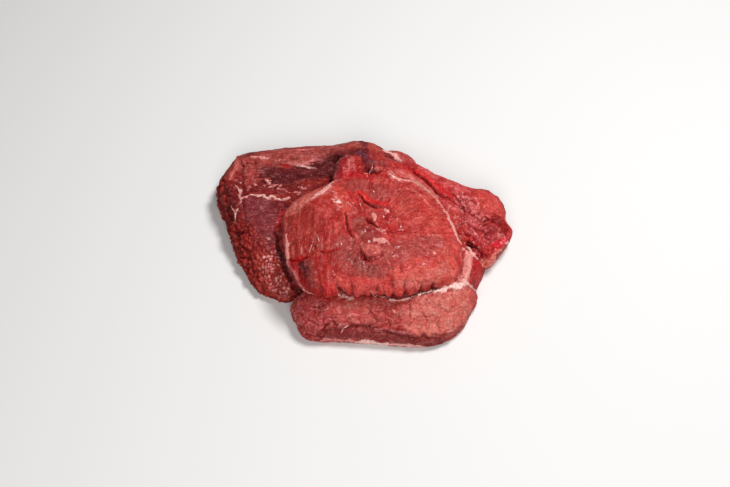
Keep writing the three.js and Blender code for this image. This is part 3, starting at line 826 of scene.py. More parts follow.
RIGHT_LIPS = {
    "torn edge": ([(412, 171), (422, 176), (428, 181), (433, 187), (437, 192), (443, 196), (451, 197)],
                  2.3, 3.6, 0.9),
}
RIGHT_AREAS = {
    "torn": ([(462, 208), (474, 222), (480, 240), (492, 250)], 11, 2),
    "tip": ([(484, 258), (497, 248), (510, 240)], 5),
    # the torn edge's bright red with a painted highlight along it
    "highlit edge": ([(418, 171.5), (431, 181), (438, 188), (445, 192.5), (453, 196)], 1.4, 0.5),
}
right_area = zones_of(RIGHT_AREAS)
torn = right_area["torn"]
right_ends, right_number, torn_bundles = packed_ends(
    (4.6, 3.4, 3.6), straying=1.1, seed=31, height=1.3, valley=0.35, sink=0.9, step=1.3
)
relief = relief + torn * torn_bundles
uneven(torn, 0.9, 4.5, seed=32)
uneven(on_lobe["right"], 0.45, 3, seed=33)
uneven(on_lobe["flank"], 0.35, (4, 2, 6), seed=34)
paint_zones(RIGHT_ZONES)
calm = torn * (1 - right_area["tip"])
# painted shade in the gaps between the torn bundles
paint("slit_red", 0.4 * calm * (1 - smooth(right_ends, 0, 0.25)))
paint("pink", 0.5 * calm * smooth(right_number, 0.5, 0.9) * smooth(right_ends, 0.1, 0.4))
# painted highlights: small film-coloured flecks for glints on the torn meat
paint("film", 0.7 * calm * smooth(rough(skin, (1.6, 2.6, 2.2), seed=35), 0.38, 0.55))
# the edge's own bright red with a painted highlight
paint("red_with_highlight", 0.6 * right_area["highlit edge"])
raise_lips(RIGHT_LIPS)
cut_marks(RIGHT_MARKS)

# The slab: the fold of meat under the disc's front, its face cut into a mosaic of pale-edged bundles.
# A white line of fat lies where it meets the disc, and another shows along its bottom.
SLAB_ZONES = {
    # the right end painted paler and the left end darker: partly their own colour, partly painted
    # light and shade from the side the light comes from
    "right end": ([(425, 318), (445, 316), (462, 308)], 13, "pale_orange", 0.85),
    "left end": ([(305, 305), (312, 322)], 10, "deep_red", 0.3),
    "middle": ([(345, 308), (370, 306), (390, 312)], 9, "salmon", 0.45),
    # painted shade on the lower face, which slopes away from the light, and at its low right
    "lower": ([(325, 335), (352, 332), (385, 336), (415, 341), (440, 340)], 5, "shaded_dark_red", 0.6),
    "low right": ([(448, 334), (458, 330)], 4, "deep_red", 0.5),
    "edge right": ([(470, 296), (472, 310), (465, 325)], 3, "orange_red", 0.5),
    "bottom fat": ([(350, 340.5), (362, 342), (374, 343), (386, 344)], 1.8, "white_fat", 1.0),
    "bottom fat right": ([(392, 344.5), (412, 346), (424, 346.5)], 1.4, "fat", 0.8),
    "bottom fat left": ([(322, 339), (336, 339.8), (352, 340.5)], 1.5, "film", 0.8),
}
SLAB_MARKS = {
    # painted shade in the crease
    "crease": ([(326, 331), (340, 329.5), (352, 327), (372, 327), (382, 330), (395, 335), (410, 338),
                (425, 338), (440, 338)], 1.2, -0.8, "wine", 0.4),
    "fat line": ([(441, 289), (430, 291), (420, 294), (412, 296), (403, 299), (395, 300), (388, 298),
                  (380, 296), (374, 295)], 1.0, 0.7, "fat", 0.85),
    "fat blob": ([(434, 291), (442, 289), (450, 286.5), (458, 286), (465, 284)],
                 3.6, 1.4, "white_fat", 1.0),
    "fat arm": ([(463, 283), (470, 286), (477, 293)], 1.0, 0.6, "fat", 0.85),
    "fleck": ([(443, 290), (443, 297)], 0.6, 0.3, "fat", 0.6),
    "edge a": ([(317, 300), (317, 313), (310, 318)], 0.6, 0.3, "film", 0.4),
    "edge b": ([(388, 303), (392, 309), (400, 316)], 0.7, 0.4, "film", 0.5),
    # painted shade in the groove
    "edge c": ([(410, 305), (410, 315), (413, 320)], 0.7, -0.5, "deep_red", 0.6),
    "pale ridge": ([(347, 316), (353, 314), (360, 315)], 0.8, 0.5, "pink", 0.7),
    "fleck b": ([(341, 333), (343, 328), (348, 326)], 0.7, 0.4, "film", 0.7),
    "fleck c": ([(465, 307), (466, 313)], 0.7, 0.4, "film", 0.6),
    "fleck d": ([(447, 331), (455, 328)], 0.7, 0.4, "film", 0.6),
    "pink edge": ([(375, 329), (385, 328), (398, 332), (412, 334)], 0.6, 0.4, "pink", 0.5),
    # painted shade in the cracks
    "crack a": ([(322, 330), (325, 326), (329, 323)], 0.8, -1.2, "gap", 0.7),
    "crack b": ([(333, 321), (338, 325)], 0.7, -1.0, "gap", 0.6),
    "crack c": ([(424, 314), (427, 320)], 0.5, -0.5, "deep_red", 0.4),
    "crack d": ([(366, 306), (372, 312), (376, 320)], 0.6, -0.7, "deep_red", 0.5),
    "crack e": ([(428, 300), (430, 308)], 0.5, -0.6, "deep_red", 0.5),
}
cut_face = on_lobe["slab"]
mosaic, mosaic_number, facets = packed_ends(
    (8, 7, 7), straying=1.0, seed=41, height=0.6, valley=0.22, sink=0.3, step=0.8
)
fine_facets = packed_ends(
    (2.6, 2.3, 2.3), straying=0.5, seed=44, height=0.2, valley=0.5, sink=0, step=0.15
)[2]
relief = relief + cut_face * facets
relief = relief + cut_face * fine_facets
seams = (1 - smooth(mosaic, 0.02, 0.11)) * smooth(rough(skin, 9, seed=46), -0.3, 0.3)
paint("deep_red", 0.6 * cut_face * seams)
paint("pink", 0.75 * cut_face * smooth(mosaic, 0.05, 0.12) * (1 - smooth(mosaic, 0.12, 0.28)))
paint("deep_red", 0.35 * cut_face * smooth(mosaic_number, 0.5, 1))
paint("pale_orange", 0.3 * cut_face * smooth(-mosaic_number, -0.35, 0))
paint_zones(SLAB_ZONES)
cut_marks(SLAB_MARKS)

# The disc: the thick round of muscle folded over the rest. Its grain runs down its left side and out
# to the rim elsewhere; its middle is torn, and at the front it ends in rounded bundles.
DISC_ZONES = {
    # the left side darker: partly its own older red, partly painted shade on the side away from the
    # light
    "left": ([(300, 214), (304, 232), (306, 250)], 10, "old_red", 0.75),
    "left low": ([(318, 256), (322, 272), (326, 286)], 9, "old_red", 0.65),
    "left rim": ([(300, 201), (291, 211), (287, 222)], 2.8, "salmon", 0.7),
    "shoulder": ([(292, 210), (302, 200.5), (313, 194.5), (325, 190), (335, 183)],
                 5.0, "pale_orange", 0.75),
    "red corner": ([(338, 184), (346, 192), (352, 200)], 4.5, "bright_red", 0.6),
    "upper middle": ([(352, 176), (366, 180)], 5, "bright_red", 0.5),
    "glow": ([(338, 190), (342, 200), (346, 208)], 4.5, "orange_red", 0.6),
    "dark patch": ([(303.5, 263), (303.5, 272), (305, 284)], 3.0, "gap", 0.95),
    "brown beside": ([(311, 263), (312, 275), (313, 288)], 3, "grey_brown", 0.45),
    "red below": ([(303, 284), (312, 291), (324, 294)], 2.8, "crimson", 0.8),
    "crimson low": ([(294, 265), (300, 276), (306, 286)], 2.6, "crimson", 0.55),
    "dark band": ([(323, 221), (324, 231), (325, 240)], 1.9, "deep_red", 0.7),
    "low left": ([(322, 262), (326, 275), (328, 288)], 6, "bright_red", 0.3),
    "brown middle": ([(344, 248), (356, 262), (376, 268)], 9, "brown", 0.7),
    "grey low": ([(352, 256), (362, 266), (372, 270)], 4, "taupe", 0.6),
    "brown top": ([(352, 184), (366, 188), (382, 192)], 6, "brown", 0.6),
    "brown right top": ([(398, 192), (406, 202), (412, 208)], 4, "brown", 0.45),
    "grey middle": ([(361, 224), (365, 230), (368, 236)], 5.5, "taupe", 0.75),
    "grey right": ([(388, 248), (392, 262)], 5, "brown", 0.55),
    "brown right": ([(404, 250), (420, 246), (438, 244)], 7, "brown", 0.5),
    "front rim": ([(342, 285), (358, 289), (378, 288), (396, 285)], 6, "rim_orange", 0.8),
    # the tip bundle's red with a painted highlight
    "tip bundle": ([(326, 286), (331, 294)], 3.5, "red_with_highlight", 0.45),
    "right front": ([(402, 279), (425, 277), (450, 270)], 5.5, "pale_orange", 0.55),
    "orange right": ([(400, 272), (430, 262), (452, 250)], 5, "orange_red", 0.45),
    "upper right": ([(410, 205), (430, 215), (440, 228)], 8, "orange_red", 0.3),
    "torn middle": ([(386, 222), (392, 232), (386, 238)], 4, "bright_red", 0.4),
    "torn flap": ([(365, 248.5), (370, 250), (377, 249.5)], 3.6, "pale_orange", 0.6),
    "red corner low": ([(452, 262), (456, 275), (446, 282)], 3, "orange_red", 0.6),
}
DISC_MARKS = {
    # painted shadow under the torn flap's edges
    "flap shadow": ([(360, 250), (362, 256), (366, 260), (371, 260.5)], 1.4, -1.0, "blood_and_shade", 0.95),
    "flap shadow front": ([(371, 260.5), (376, 258), (382, 254.5)], 0.8, -0.6, "blood_and_shade", 0.95),
    # painted shade in the slits
    "slit left": ([(288, 260), (296, 259.5), (306, 257)], 1.4, -1.2, "slit_red", 1.0),
    "slit curved": ([(317, 250), (325, 252), (333, 250), (339, 247)], 1.0, -0.6, "slit_red", 1.0),
    "beside the slit": ([(344, 212), (344.5, 222), (346, 230)], 1.0, 0.5, "orange_red", 0.4),
    "slit foot": ([(352, 236), (350, 241)], 0.8, 0.3, "film", 0.5),
    # painted shade in the notch and beside it
    "notch": ([(366.5, 217.5), (371, 221.5), (374, 223.5)], 1.5, -1.8, "blood_and_shade", 0.95),
    "notch right": ([(376, 222), (384, 223)], 1.2, -0.5, "slit_red", 0.6),
    "glint": ([(377, 229), (382, 232), (386, 229)], 0.9, 0.4, "film", 0.6),
    # painted shade in the groove, the crack and the pits
    "groove left": ([(316, 262), (318, 278), (324, 292)], 0.7, -0.8, "deep_red", 0.6),
    "crack right": ([(387, 225), (391, 232), (398, 231.5), (404, 231)], 0.6, -0.9, "blood_and_shade", 0.7),
    "pit": ([(399, 263), (402, 270)], 0.8, -0.8, "deep_red", 0.6),
    "pit 2": ([(366, 266), (372, 262), (380, 262)], 0.8, -0.7, "brown", 0.6),
    "shoulder streak": ([(313, 198), (323, 191), (333, 182)], 2.3, 0.4, "fat", 0.62),
    "star": ([(335.5, 201.5), (340, 202)], 1.2, 0.3, "white_fat", 0.9),
    "star left": ([(332, 198), (335, 201)], 0.6, 0.2, "pale_fat", 0.7),
    "star right": ([(340, 199), (343, 196)], 0.5, 0.2, "film", 0.6),
    "star foot": ([(338, 203), (338, 210)], 1.2, 0.2, "pink", 0.6),
    "star up": ([(337, 200), (336, 194), (333, 190)], 1.0, 0.2, "coral", 0.6),
    "edge fat": ([(286.5, 236), (287, 244), (287.5, 257)], 2.0, 0.5, "pale_fat", 0.95),
    "edge line": ([(287, 262), (292, 270), (298, 280), (304, 290)], 1.3, 0.5, "pink", 0.8),
    "torn scrap": ([(374, 240), (380, 241), (386.5, 242)], 2.3, 1.5, "pale_fat", 0.9),
    "beside the scrap": ([(385.5, 239), (388, 244)], 1.1, 0.5, "coral", 0.8),
    # painted highlight along the torn flap's top edge
    "flap top edge": ([(362, 245), (366, 244), (372, 244.5), (378, 247.5), (384, 250.5)], 1.0, 0.3,
                      "pink", 0.5),
    "nub": ([(383, 208), (388, 211)], 1.1, 0.6, "pale_fat", 0.8),
    "nub 2": ([(373.5, 214), (375, 221)], 1.3, 1.0, "pale_fat", 0.95),
    "bundle edge": ([(334, 274), (337, 286)], 0.6, 0.3, "film", 0.5),
    "speck": ([(349, 246), (352, 247)], 0.8, 0.2, "film", 0.5),
    "speck 2": ([(433, 252), (434, 254)], 0.7, 0.3, "pale_fat", 0.7),
    "under rim": ([(302, 288), (309, 292.5), (317, 295)], 1.1, 0.4, "pale_fat", 0.8),
    "under rim 2": ([(338, 294.5), (344, 297), (353, 298.5)], 1.3, 0.4, "fat", 0.9),
}
RIM_GROOVES = {
    "left of the rim": [(317, 281), (320, 288), (323, 298)],
    "tip": [(335, 276), (337, 284), (340, 290), (344, 297)],
    "beside the tip": [(345, 287), (347, 297)],
    "second": [(351, 277), (352, 286), (352, 298)],
    "third": [(361, 287), (361, 298)],
    "third b": [(365, 290), (364, 298)],
    "fourth": [(371, 286), (372, 298)],
    "fifth": [(379, 281), (377, 289), (378, 298)],
    "fifth b": [(384, 289), (385, 298)],
    "sixth": [(392, 270), (392, 284), (393, 297)],
    "seventh": [(406, 278), (404, 286), (405, 296)],
    "eighth": [(421, 281), (420, 292)],
    "ninth": [(432, 280), (433, 289)],
}
GROOVE_DEPTH = 2.3
BUNDLE_MIDDLE, BUNDLE_WIDTH, BUNDLE_RISE = 3.4, 1.6, 0.5  # of the rounded bundle beside a groove
TORN_FLAP = [(360.5, 246), (366, 243.5), (376, 246), (387, 250), (380, 253.5), (372.5, 257),
             (367, 258.5), (363, 252.5)]
TORN_FLAP_RISE, TORN_FLAP_LEAN = 2.1, 0.45
TORN_FLAP_FACES = np.array([-0.5, -0.87])  # to the front left
DISC_LIPS = {
    "tongue": ([(358, 193), (363, 197.5), (366, 201), (371, 205), (376, 207), (385, 205.5)],
               2.6, 2.6, 1.3),
    "torn middle": ([(366, 217), (371, 221), (377, 226), (382, 232)], 1.2, 3, 0.8),
    "curved slit": ([(317, 250), (325, 252), (333, 250), (339, 247)], 0.7, 2.5, 0.4),
    "left slit": ([(289, 260), (297, 259), (306, 257)], 0.8, 2.5, 0.4),
}
DISC_AREAS = {
    "across": ([(405, 262), (430, 256), (452, 254)], 14, 2),
    "down": ([(296, 215), (303, 240), (312, 272)], 15, 2),
    "down further in": ([(330, 218), (330, 245)], 9, 2),
    "front": ([(335, 284), (360, 286), (395, 285), (420, 284)], 8, 2),
    "ragged middle": ([(355, 188), (372, 215), (380, 240), (360, 250)], 15, 3),
    "specks": ([(360, 205), (380, 212), (384, 232), (372, 246)], 8, 3),
    "star": ([(335, 195), (341, 201), (346, 208)], 5.5, 2),
    # painted shadow under the front rim, where it hangs over the slab
    "under the rim": ([(383, 296), (395, 297.5), (410, 295.5), (425, 292), (440, 287.5)], 1.6, 0.4),
    "shadow line under the rim": ([(302, 289), (312, 294.5), (330, 298.5), (339, 294.5), (352, 296),
                           (366, 296), (380, 296)], 1.2, 0.5),
    # the tongue's own bright red with a painted highlight
    "highlit tongue": ([(359, 192.5), (366, 198), (374, 202.5), (385, 203)], 1.9, 0.4),
    # painted shade in the upright slit
    "slit": ([(345.5, 212), (346.5, 222), (348.5, 230), (352.5, 237)], 0.62, 0.35),
    "deep in the slit": ([(346, 216), (348, 228)], 0.6, 0.35),
}
disc, disc_area = on_lobe["disc"], zones_of(DISC_AREAS)
across_right, ragged_middle = disc_area["across"], disc_area["ragged middle"]
down_left = np.minimum(disc_area["down"] + disc_area["down further in"], 1) * disc
patches, patch_number = bundles(skin + 1.2 * wander, (6, 6, 5), seed=51)
uneven(disc * across_right, 0.5, (9, 2.0, 3), seed=52)
uneven(down_left, 0.45, (1.9, 12, 12), seed=53)
uneven(disc * disc_area["front"], 0.45, (4.5, 9, 9), seed=54)
relief = relief + disc * ragged_middle * (0.9 * (patch_number - 0.5) * smooth(patches, 0, 0.15))
uneven(disc, 0.25, 2.6, seed=55)
torn_lines = 1 - smooth(np.abs(rough(skin + 0.8 * wander, 7, seed=57)), 0, 0.09)
broken_up = smooth(rough(skin + 0.8 * wander, 7 * 1.3, seed=66), -0.1, 0.25)
torn_lines = disc * (0.35 + 0.65 * ragged_middle) * (torn_lines * broken_up)
relief = relief - 0.7 * torn_lines
paint_zones(DISC_ZONES)
fibres = rough(skin, (1.4, 9, 9), seed=56)
wrinkles = rough(skin, (8, 1.7, 2.5), seed=63)
paint("pink", 0.3 * across_right * smooth(wrinkles, 0.15, 0.5))
paint("brown", 0.4 * across_right * smooth(-wrinkles, 0.15, 0.5))
paint("pink", 0.24 * down_left * smooth(fibres, 0.15, 0.55))
paint("blood_and_shade", 0.34 * down_left * smooth(-fibres, 0.15, 0.55))
# painted shade in the torn cracks
paint("deep_red", 0.7 * torn_lines)
for pixels in RIM_GROOVES.values():
    distance, along, _ = to_stroke(pixels, 0.4)
    opening = smooth(along, 0, 0.7)
    groove = opening * fading(distance, 0.6 + 0.5 * opening)
    beside = opening * fading(distance - BUNDLE_MIDDLE, BUNDLE_WIDTH)
    relief = relief - GROOVE_DEPTH * groove + BUNDLE_RISE * beside
    # painted shade in the grooves between the rim's bundles
    paint("gap", 0.9 * opening**0.6 * fading(distance, 0.75))
# painted shadow under the front rim
paint("gap", 0.75 * disc_area["under the rim"])
paint("blood_and_shade", 0.9 * disc_area["shadow line under the rim"])
paint("deep_red", 0.3 * disc * ragged_middle * (1 - smooth(patches, 0, 0.12)))
# film-coloured specks round the star, partly painted glints
paint("film", 0.5 * disc_area["star"] * smooth(rough(skin, 1.9, seed=58), 0.3, 0.5))
veins = 1 - smooth(np.abs(rough(skin + 0.6 * wander, 6, seed=61)), 0, 0.07)
paint("crimson", 0.55 * disc * veins * smooth(rough(skin, 8, seed=62), 0, 0.4))
# film-coloured specks in the middle, partly painted glints
paint("film", 0.4 * disc_area["specks"] * smooth(rough(skin, (1.5, 3.2, 2.5), seed=59), 0.42, 0.75))
paint("crimson", 0.6 * disc_area["specks"] * smooth(-rough(skin, 2.4, seed=60), 0.25, 0.5))
# the tongue's bright red with a painted highlight
paint("red_with_highlight", 0.9 * disc_area["highlit tongue"])
# the slit cut in and painted with its shade
relief = relief - 2.0 * disc_area["slit"]
paint("blood_and_shade", 0.9 * disc_area["slit"])
paint("gap", 0.5 * disc_area["deep in the slit"])
raise_lips(DISC_LIPS)
raise_flap(TORN_FLAP, TORN_FLAP_RISE, TORN_FLAP_LEAN, TORN_FLAP_FACES)
cut_marks(DISC_MARKS)

# The skin is worked: each place moves by its relief and its push. Shade is then painted into the deep
# places, darker and redder, and a little painted light onto the tops, which come out paler.
HOLLOW_REACH = 6  # rounds of evening out that a place is compared with
worked = skin + relief[:, None] * skin_normal * (~on_board)[:, None] + push * (~on_board)[:, None]
lay_skin(worked)
depth = relief - relaxed(relief[:, None], HOLLOW_REACH)[:, 0]
# painted shade in the hollows
paint("deep_red", 0.55 * smooth(-depth, 0.12, 0.7))
# painted light and shade: tops paler and hollows darker by their depth; the cobbled cut side a little
# paler, and lumps of random tone
paler = 0.14 * cobbled + 0.26 * np.clip(depth, -0.6, 0.6) + 0.16 * rough(skin, 2.6, seed=70)
tint *= 0.88 + paler[:, None]
end_grain = np.clip(cobbled + lumpy + cut_face + torn, 0, 1)
wet = 0.3 + 0.7 * np.clip(torn + ragged_middle + shiny_front + on_lobe["knob"], 0, 1)
wet *= 1 - 0.8 * np.clip(lumpy + cobbled - 1.4 * shiny_front, 0, 1)


DISC_HEART = (372, 232)  # the pixel that the disc's fibres spread from
HEART_EDGE = 4, 14  # they start to show this far from it, and are all there this far
SPOKE_STRETCH, SPOKE_COUNT = 0.13, 32  # how far they are drawn out, and how many lie in a radian
THREAD_AREAS = {
    "left slit": ([(300, 246), (306, 247), (313, 244)], 4.5, 2),
    "low left": ([(324, 268), (330, 280), (333, 288)], 6, 2),
    "curved slit": ([(331, 236), (334, 246)], 4, 2),
}
THREAD_SHARES = (0.6, 0.15, 0.3)


def keep_on_skin(name, values, kind="FLOAT", field="value"):
    """Stores values for the finish to read."""
    attribute = flesh.data.attributes.new(name, kind, "POINT")
    attribute.data.foreach_set(field, values.ravel())


def keep_colour(name, colours):
    """Stores a colour for each point, held in range."""
    opaque = np.concatenate([np.clip(colours, 0, 1), np.ones((len(colours), 1))], axis=1)
    keep_on_skin(name, opaque, "FLOAT_COLOR", "color")


away_x, away_y, away_z = (skin - on_surface(smooth_flesh, *DISC_HEART)).T
from_heart = np.hypot(away_x, away_y)
spoke_place = [SPOKE_STRETCH * from_heart, SPOKE_COUNT * np.arctan2(-away_y, away_x), away_z]
threads = sum(share * area for share, area in zip(THREAD_SHARES, zones_of(THREAD_AREAS).values()))
keep_colour("tint", tint)
keep_on_skin("fat", fat)
keep_colour("cover", cover)
keep_on_skin("grain_down", down_left)
keep_on_skin("grain_out", disc * (1 - down_left) * smooth(from_heart, *HEART_EDGE))
keep_on_skin("spoke_place", np.stack(spoke_place, axis=1), "FLOAT_VECTOR", "vector")
keep_on_skin("threads", np.clip(threads, 0, 1))
keep_on_skin("end_grain", end_grain)
keep_on_skin("wet", wet)


# The finish of raw, wet muscle: fine streaks along its fibres, fat in ragged films over it, and a skin
# of moisture that gives it small highlights.
def plug(tree, node, inputs):
    """Sets a node's inputs, each to a value or to another node's output."""
    for name, value in inputs.items():
        if isinstance(value, bpy.types.NodeSocket):
            tree.links.new(value, node.inputs[name])
        else:
            node.inputs[name].default_value = value


def put(tree, kind, inputs=(), **settings):
    """A new node with its settings and inputs."""
    node = tree.nodes.new(kind)
    for name, value in settings.items():
        setattr(node, name, value)
    plug(tree, node, dict(inputs))
    return node


def calculate(tree, operation, *values):
    """A sum, or another step of arithmetic."""
    return put(tree, "ShaderNodeMath", dict(enumerate(values)), operation=operation).outputs[0]


def spread(tree, value, low, high, to_low=0.0, to_high=1.0):
    """A value between low and high, stretched evenly to another range and held inside it."""
    inputs = {"Value": value, "From Min": low, "From Max": high, "To Min": to_low, "To Max": to_high}
    return put(tree, "ShaderNodeMapRange", inputs).outputs["Result"]


def mixed(tree, share, a, b):
    """A value that goes from a to b by share."""
    step = calculate(tree, "MULTIPLY", calculate(tree, "SUBTRACT", b, a), share)
    return calculate(tree, "ADD", a, step)


def blend(tree, share, a, b, how="MIX"):
    """A colour that goes from a to b by share."""
    inputs = {0: share, 6: a, 7: b}
    return put(tree, "ShaderNodeMix", inputs, data_type="RGBA", blend_type=how).outputs[2]


def speckle(tree, place, size, stretch=(1, 1, 1), detail=5.0, roughness=0.6):
    """Noise with lumps of a size in millimetres, drawn out along an axis where stretch is under 1."""
    drawn = put(tree, "ShaderNodeVectorMath", {0: place, 1: stretch}, operation="MULTIPLY").outputs[0]
    inputs = {"Vector": drawn, "Scale": 1 / size, "Detail": detail, "Roughness": roughness}
    return put(tree, "ShaderNodeTexNoise", inputs).outputs[0]


def on_skin(tree, name, output="Fac"):
    """Values that were stored on the skin."""
    return put(tree, "ShaderNodeAttribute", attribute_name=name).outputs[output]


def in_millimetres(tree):
    """The place on the meat."""
    at = put(tree, "ShaderNodeTexCoord").outputs["Object"]
    return put(tree, "ShaderNodeVectorMath", {0: at, "Scale": 1 / MM}, operation="SCALE").outputs[0]


def new_finish(name):
    """A new material, with its tree and the node that makes its surface."""
    finish = bpy.data.materials.new(name)
    finish.use_nodes = True
    return finish, finish.node_tree, finish.node_tree.nodes["Principled BSDF"]


FIBRE = 1.5  # the width of a streak
flesh_finish, tree, shader = new_finish("raw_muscle")
place = in_millimetres(tree)
across = speckle(tree, place, FIBRE, (0.18, 1, 1))
down = speckle(tree, place, FIBRE, (1, 0.16, 0.16))
out = speckle(tree, on_skin(tree, "spoke_place", "Vector"), FIBRE)
grain = speckle(tree, place, 1.2)
pores = speckle(tree, place, 0.5, detail=3.0, roughness=0.7)
streak = mixed(tree, on_skin(tree, "grain_down"), across, down)
streak = mixed(tree, on_skin(tree, "grain_out"), streak, out)
streak = mixed(tree, 0.55, streak, grain)
ends = on_skin(tree, "end_grain")
texture = mixed(tree, ends, streak, mixed(tree, 0.4, grain, 0.5))
tint_here = on_skin(tree, "tint", "Color")
darker = blend(tree, 1.0, tint_here, (0.54, 0.30, 0.33, 1), "MULTIPLY")
paler = blend(tree, 1.0, tint_here, (1.35, 1.9, 1.9, 1), "MULTIPLY")
paler = blend(tree, 0.1, paler, (0.90, 0.42, 0.38, 1))
meat = blend(tree, spread(tree, texture, 0.35, 0.49), darker, tint_here)
meat = blend(tree, spread(tree, texture, 0.52, 0.66), meat, paler)
flecks = speckle(tree, place, 2.6, (1, 0.8, 1), detail=5.0, roughness=0.75)
meat = blend(tree, spread(tree, flecks, 0.56, 0.68, 0, 0.3), meat, (0.70, 0.22, 0.19, 1))
elsewhere = {0: place, 1: (70.0, 30.0, 10.0)}
shifted = put(tree, "ShaderNodeVectorMath", elsewhere, operation="ADD").outputs[0]
blotches = speckle(tree, shifted, 5.5, detail=4.0)
PATCHES = {  # the lumps they follow, where they begin and are full, their share, and their colour
    "bruised": (flecks, 0.46, 0.34, 0.75, (0.6, 0.3, 0.33, 1)),
    "fresh": (blotches, 0.5, 0.64, 0.5, (1.1, 0.58, 0.64, 1)),
    "pallid": (blotches, 0.48, 0.34, 0.6, (1.2, 1.8, 1.8, 1)),
}
for lumps_here, begins, full, share, change in PATCHES.values():
    patch = blend(tree, 1.0, meat, change, "MULTIPLY")
    meat = blend(tree, spread(tree, lumps_here, begins, full, 0, share), meat, patch)
raggedness = calculate(tree, "MULTIPLY", calculate(tree, "SUBTRACT", grain, 0.5), 1.8)
ragged_fat = calculate(tree, "ADD", on_skin(tree, "fat"), raggedness)
fat_here = spread(tree, ragged_fat, 0.32, 0.58)
threads = speckle(tree, place, 0.9, (1, 0.09, 0.09), detail=2.0)
threads = calculate(tree, "MULTIPLY", spread(tree, threads, 0.60, 0.66), on_skin(tree, "threads"))
fat_here = calculate(tree, "MAXIMUM", fat_here, calculate(tree, "MULTIPLY", threads, 0.75))
cover_here = on_skin(tree, "cover", "Color")
fat_colour = blend(tree, 1.0, cover_here, (0.82, 0.62, 0.60, 1), "MULTIPLY")
fat_colour = blend(tree, spread(tree, grain, 0.38, 0.6), fat_colour, cover_here)
colour = blend(tree, calculate(tree, "MULTIPLY", fat_here, 0.9), meat, fat_colour)
bump = put(tree, "ShaderNodeBump", {"Height": texture, "Distance": 0.7 * MM, "Strength": 1.0})
pore_bump = {"Height": pores, "Distance": 0.3 * MM, "Strength": 1.0, "Normal": bump.outputs[0]}
wet_patches = spread(tree, speckle(tree, place, 1.6, detail=3.0), 0.48, 0.62, 0.0, 0.6)
plug(tree, shader, {
    "Base Color": colour,
    "Normal": put(tree, "ShaderNodeBump", pore_bump).outputs[0],
    "Specular IOR Level": 0.13,
    "Roughness": mixed(tree, on_skin(tree, "wet"), 0.75, spread(tree, grain, 0.35, 0.65, 0.58, 0.4)),
    "Coat Weight": calculate(tree, "MULTIPLY", on_skin(tree, "wet"), wet_patches),
    "Coat Roughness": 0.2,
    "Subsurface Weight": 0.12,
    "Subsurface Radius": (1.0, 0.25, 0.18),
    "Subsurface Scale": 2 * MM,
})
flesh.data.materials.append(flesh_finish)
for face in flesh.data.polygons:
    face.use_smooth = True
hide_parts("beef_cheek")
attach(flesh, "root")

# Threads of sinew and fat that lie on the meat: each a thin, flattened, uneven strand that follows the
# surface under it. A path gives the pixels it passes, and its half width at its middle.
STRANDS = {
    "white edge": ([(244, 198), (247, 196), (250, 194.5), (253, 194), (256, 195.5), (260, 195),
                    (263, 195.5), (266, 198), (268, 200), (270, 198), (271, 196), (274, 197.5),
                    (276, 199), (280, 200), (284, 200), (288, 198)], 0.5),
    "edge left": ([(241, 201), (240, 197), (240, 193), (238, 188), (235, 185)], 0.6),
    "white fork": ([(231, 206), (234, 211), (235.5, 214), (235, 218), (234, 223)], 0.4),
    "fork arm": ([(239, 207), (237, 211), (235.5, 214)], 0.3),
    "band streak": ([(297, 166), (302, 166.5), (308, 167.5), (316, 168)], 0.45),
    "hole thread": ([(373, 163.5), (372, 168), (370.5, 171.5), (367.5, 174), (364, 173)], 0.38),
    "star thread": ([(338, 201), (344, 201), (350, 204), (354, 208), (357, 211)], 0.22),
    "star up": ([(338, 202), (336, 198), (333, 194)], 0.25),
    "wishbone left": ([(315, 232), (313.5, 237), (313, 242), (311, 247), (309.5, 253)], 0.28),
    "wishbone right": ([(315, 232), (317, 235), (319, 240), (319, 244), (317, 247)], 0.32),
    "low thread": ([(335, 262), (333, 270), (334, 276), (337, 284)], 0.18),
    "notch thread": ([(359, 200), (361, 206), (363, 211)], 0.3),
    "rim thread": ([(371, 290), (373, 294), (376, 297)], 0.4),
    "sinew start": ([(385, 171), (389, 174), (394, 176.5), (399, 178.5)], 0.25),
    "sinew start 2": ([(388, 169), (392, 172), (396, 176), (401, 179)], 0.25),
    "sinew start 3": ([(390, 177.5), (396, 179), (404, 180), (412, 181.5)], 0.3),
    "sinew end": ([(447, 214), (451, 223), (455, 232), (459, 241), (464, 249)], 0.3),
    "fat line": ([(441, 289), (430, 291.5), (420, 294.5), (412, 296.5), (403, 299.5), (395, 300),
                  (388, 298.5), (380, 296.5), (373, 295)], 0.5),
    "fat arm": ([(462, 283), (467, 284), (472, 288), (478, 293)], 0.7),
    "membrane line": ([(465, 280), (469, 274), (471, 266), (470, 258), (466, 250)], 0.3),
    "slab fleck": ([(341, 333), (342, 329), (345, 327), (349, 326)], 0.4),
}
STRAND_THICKNESS = 0.8  # how much of its half width a strand keeps where it is laid
STRAND_SPACING = 0.7  # between the rings of its body
STRAND_RAGGEDNESS = 1.4
STRAND_SIDES = 8
SWING_LUMPS, RAGGED_LUMPS = 350.0, 900.0  # lumps to a metre
STRAND_SEED = 5


def strand_paths():
    """The strands' middles as curves, with their half widths, thin at both ends."""
    worked_flesh = surface_tree(worked)
    paths = bpy.data.curves.new("sinew_threads", "CURVE")
    paths.dimensions = "3D"
    for pixels, width in STRANDS.values():
        path = paths.splines.new("POLY")
        path.points.add(len(pixels) - 1)
        for i, (u, v) in enumerate(pixels):
            path.points[i].co = (*(on_surface(worked_flesh, u, v) * MM), 1)
            taper = 0.35 + 0.65 * math.sin(math.pi * (0.02 + 0.96 * i / (len(pixels) - 1))) ** 0.5
            path.points[i].radius = STRAND_THICKNESS * width * taper * MM
    return added("sinew_threads", paths)


def named_input(tree, name, kind):
    """Opens an input on a tree and gives its own name for it."""
    return tree.interface.new_socket(name, in_out="INPUT", socket_type=kind).identifier


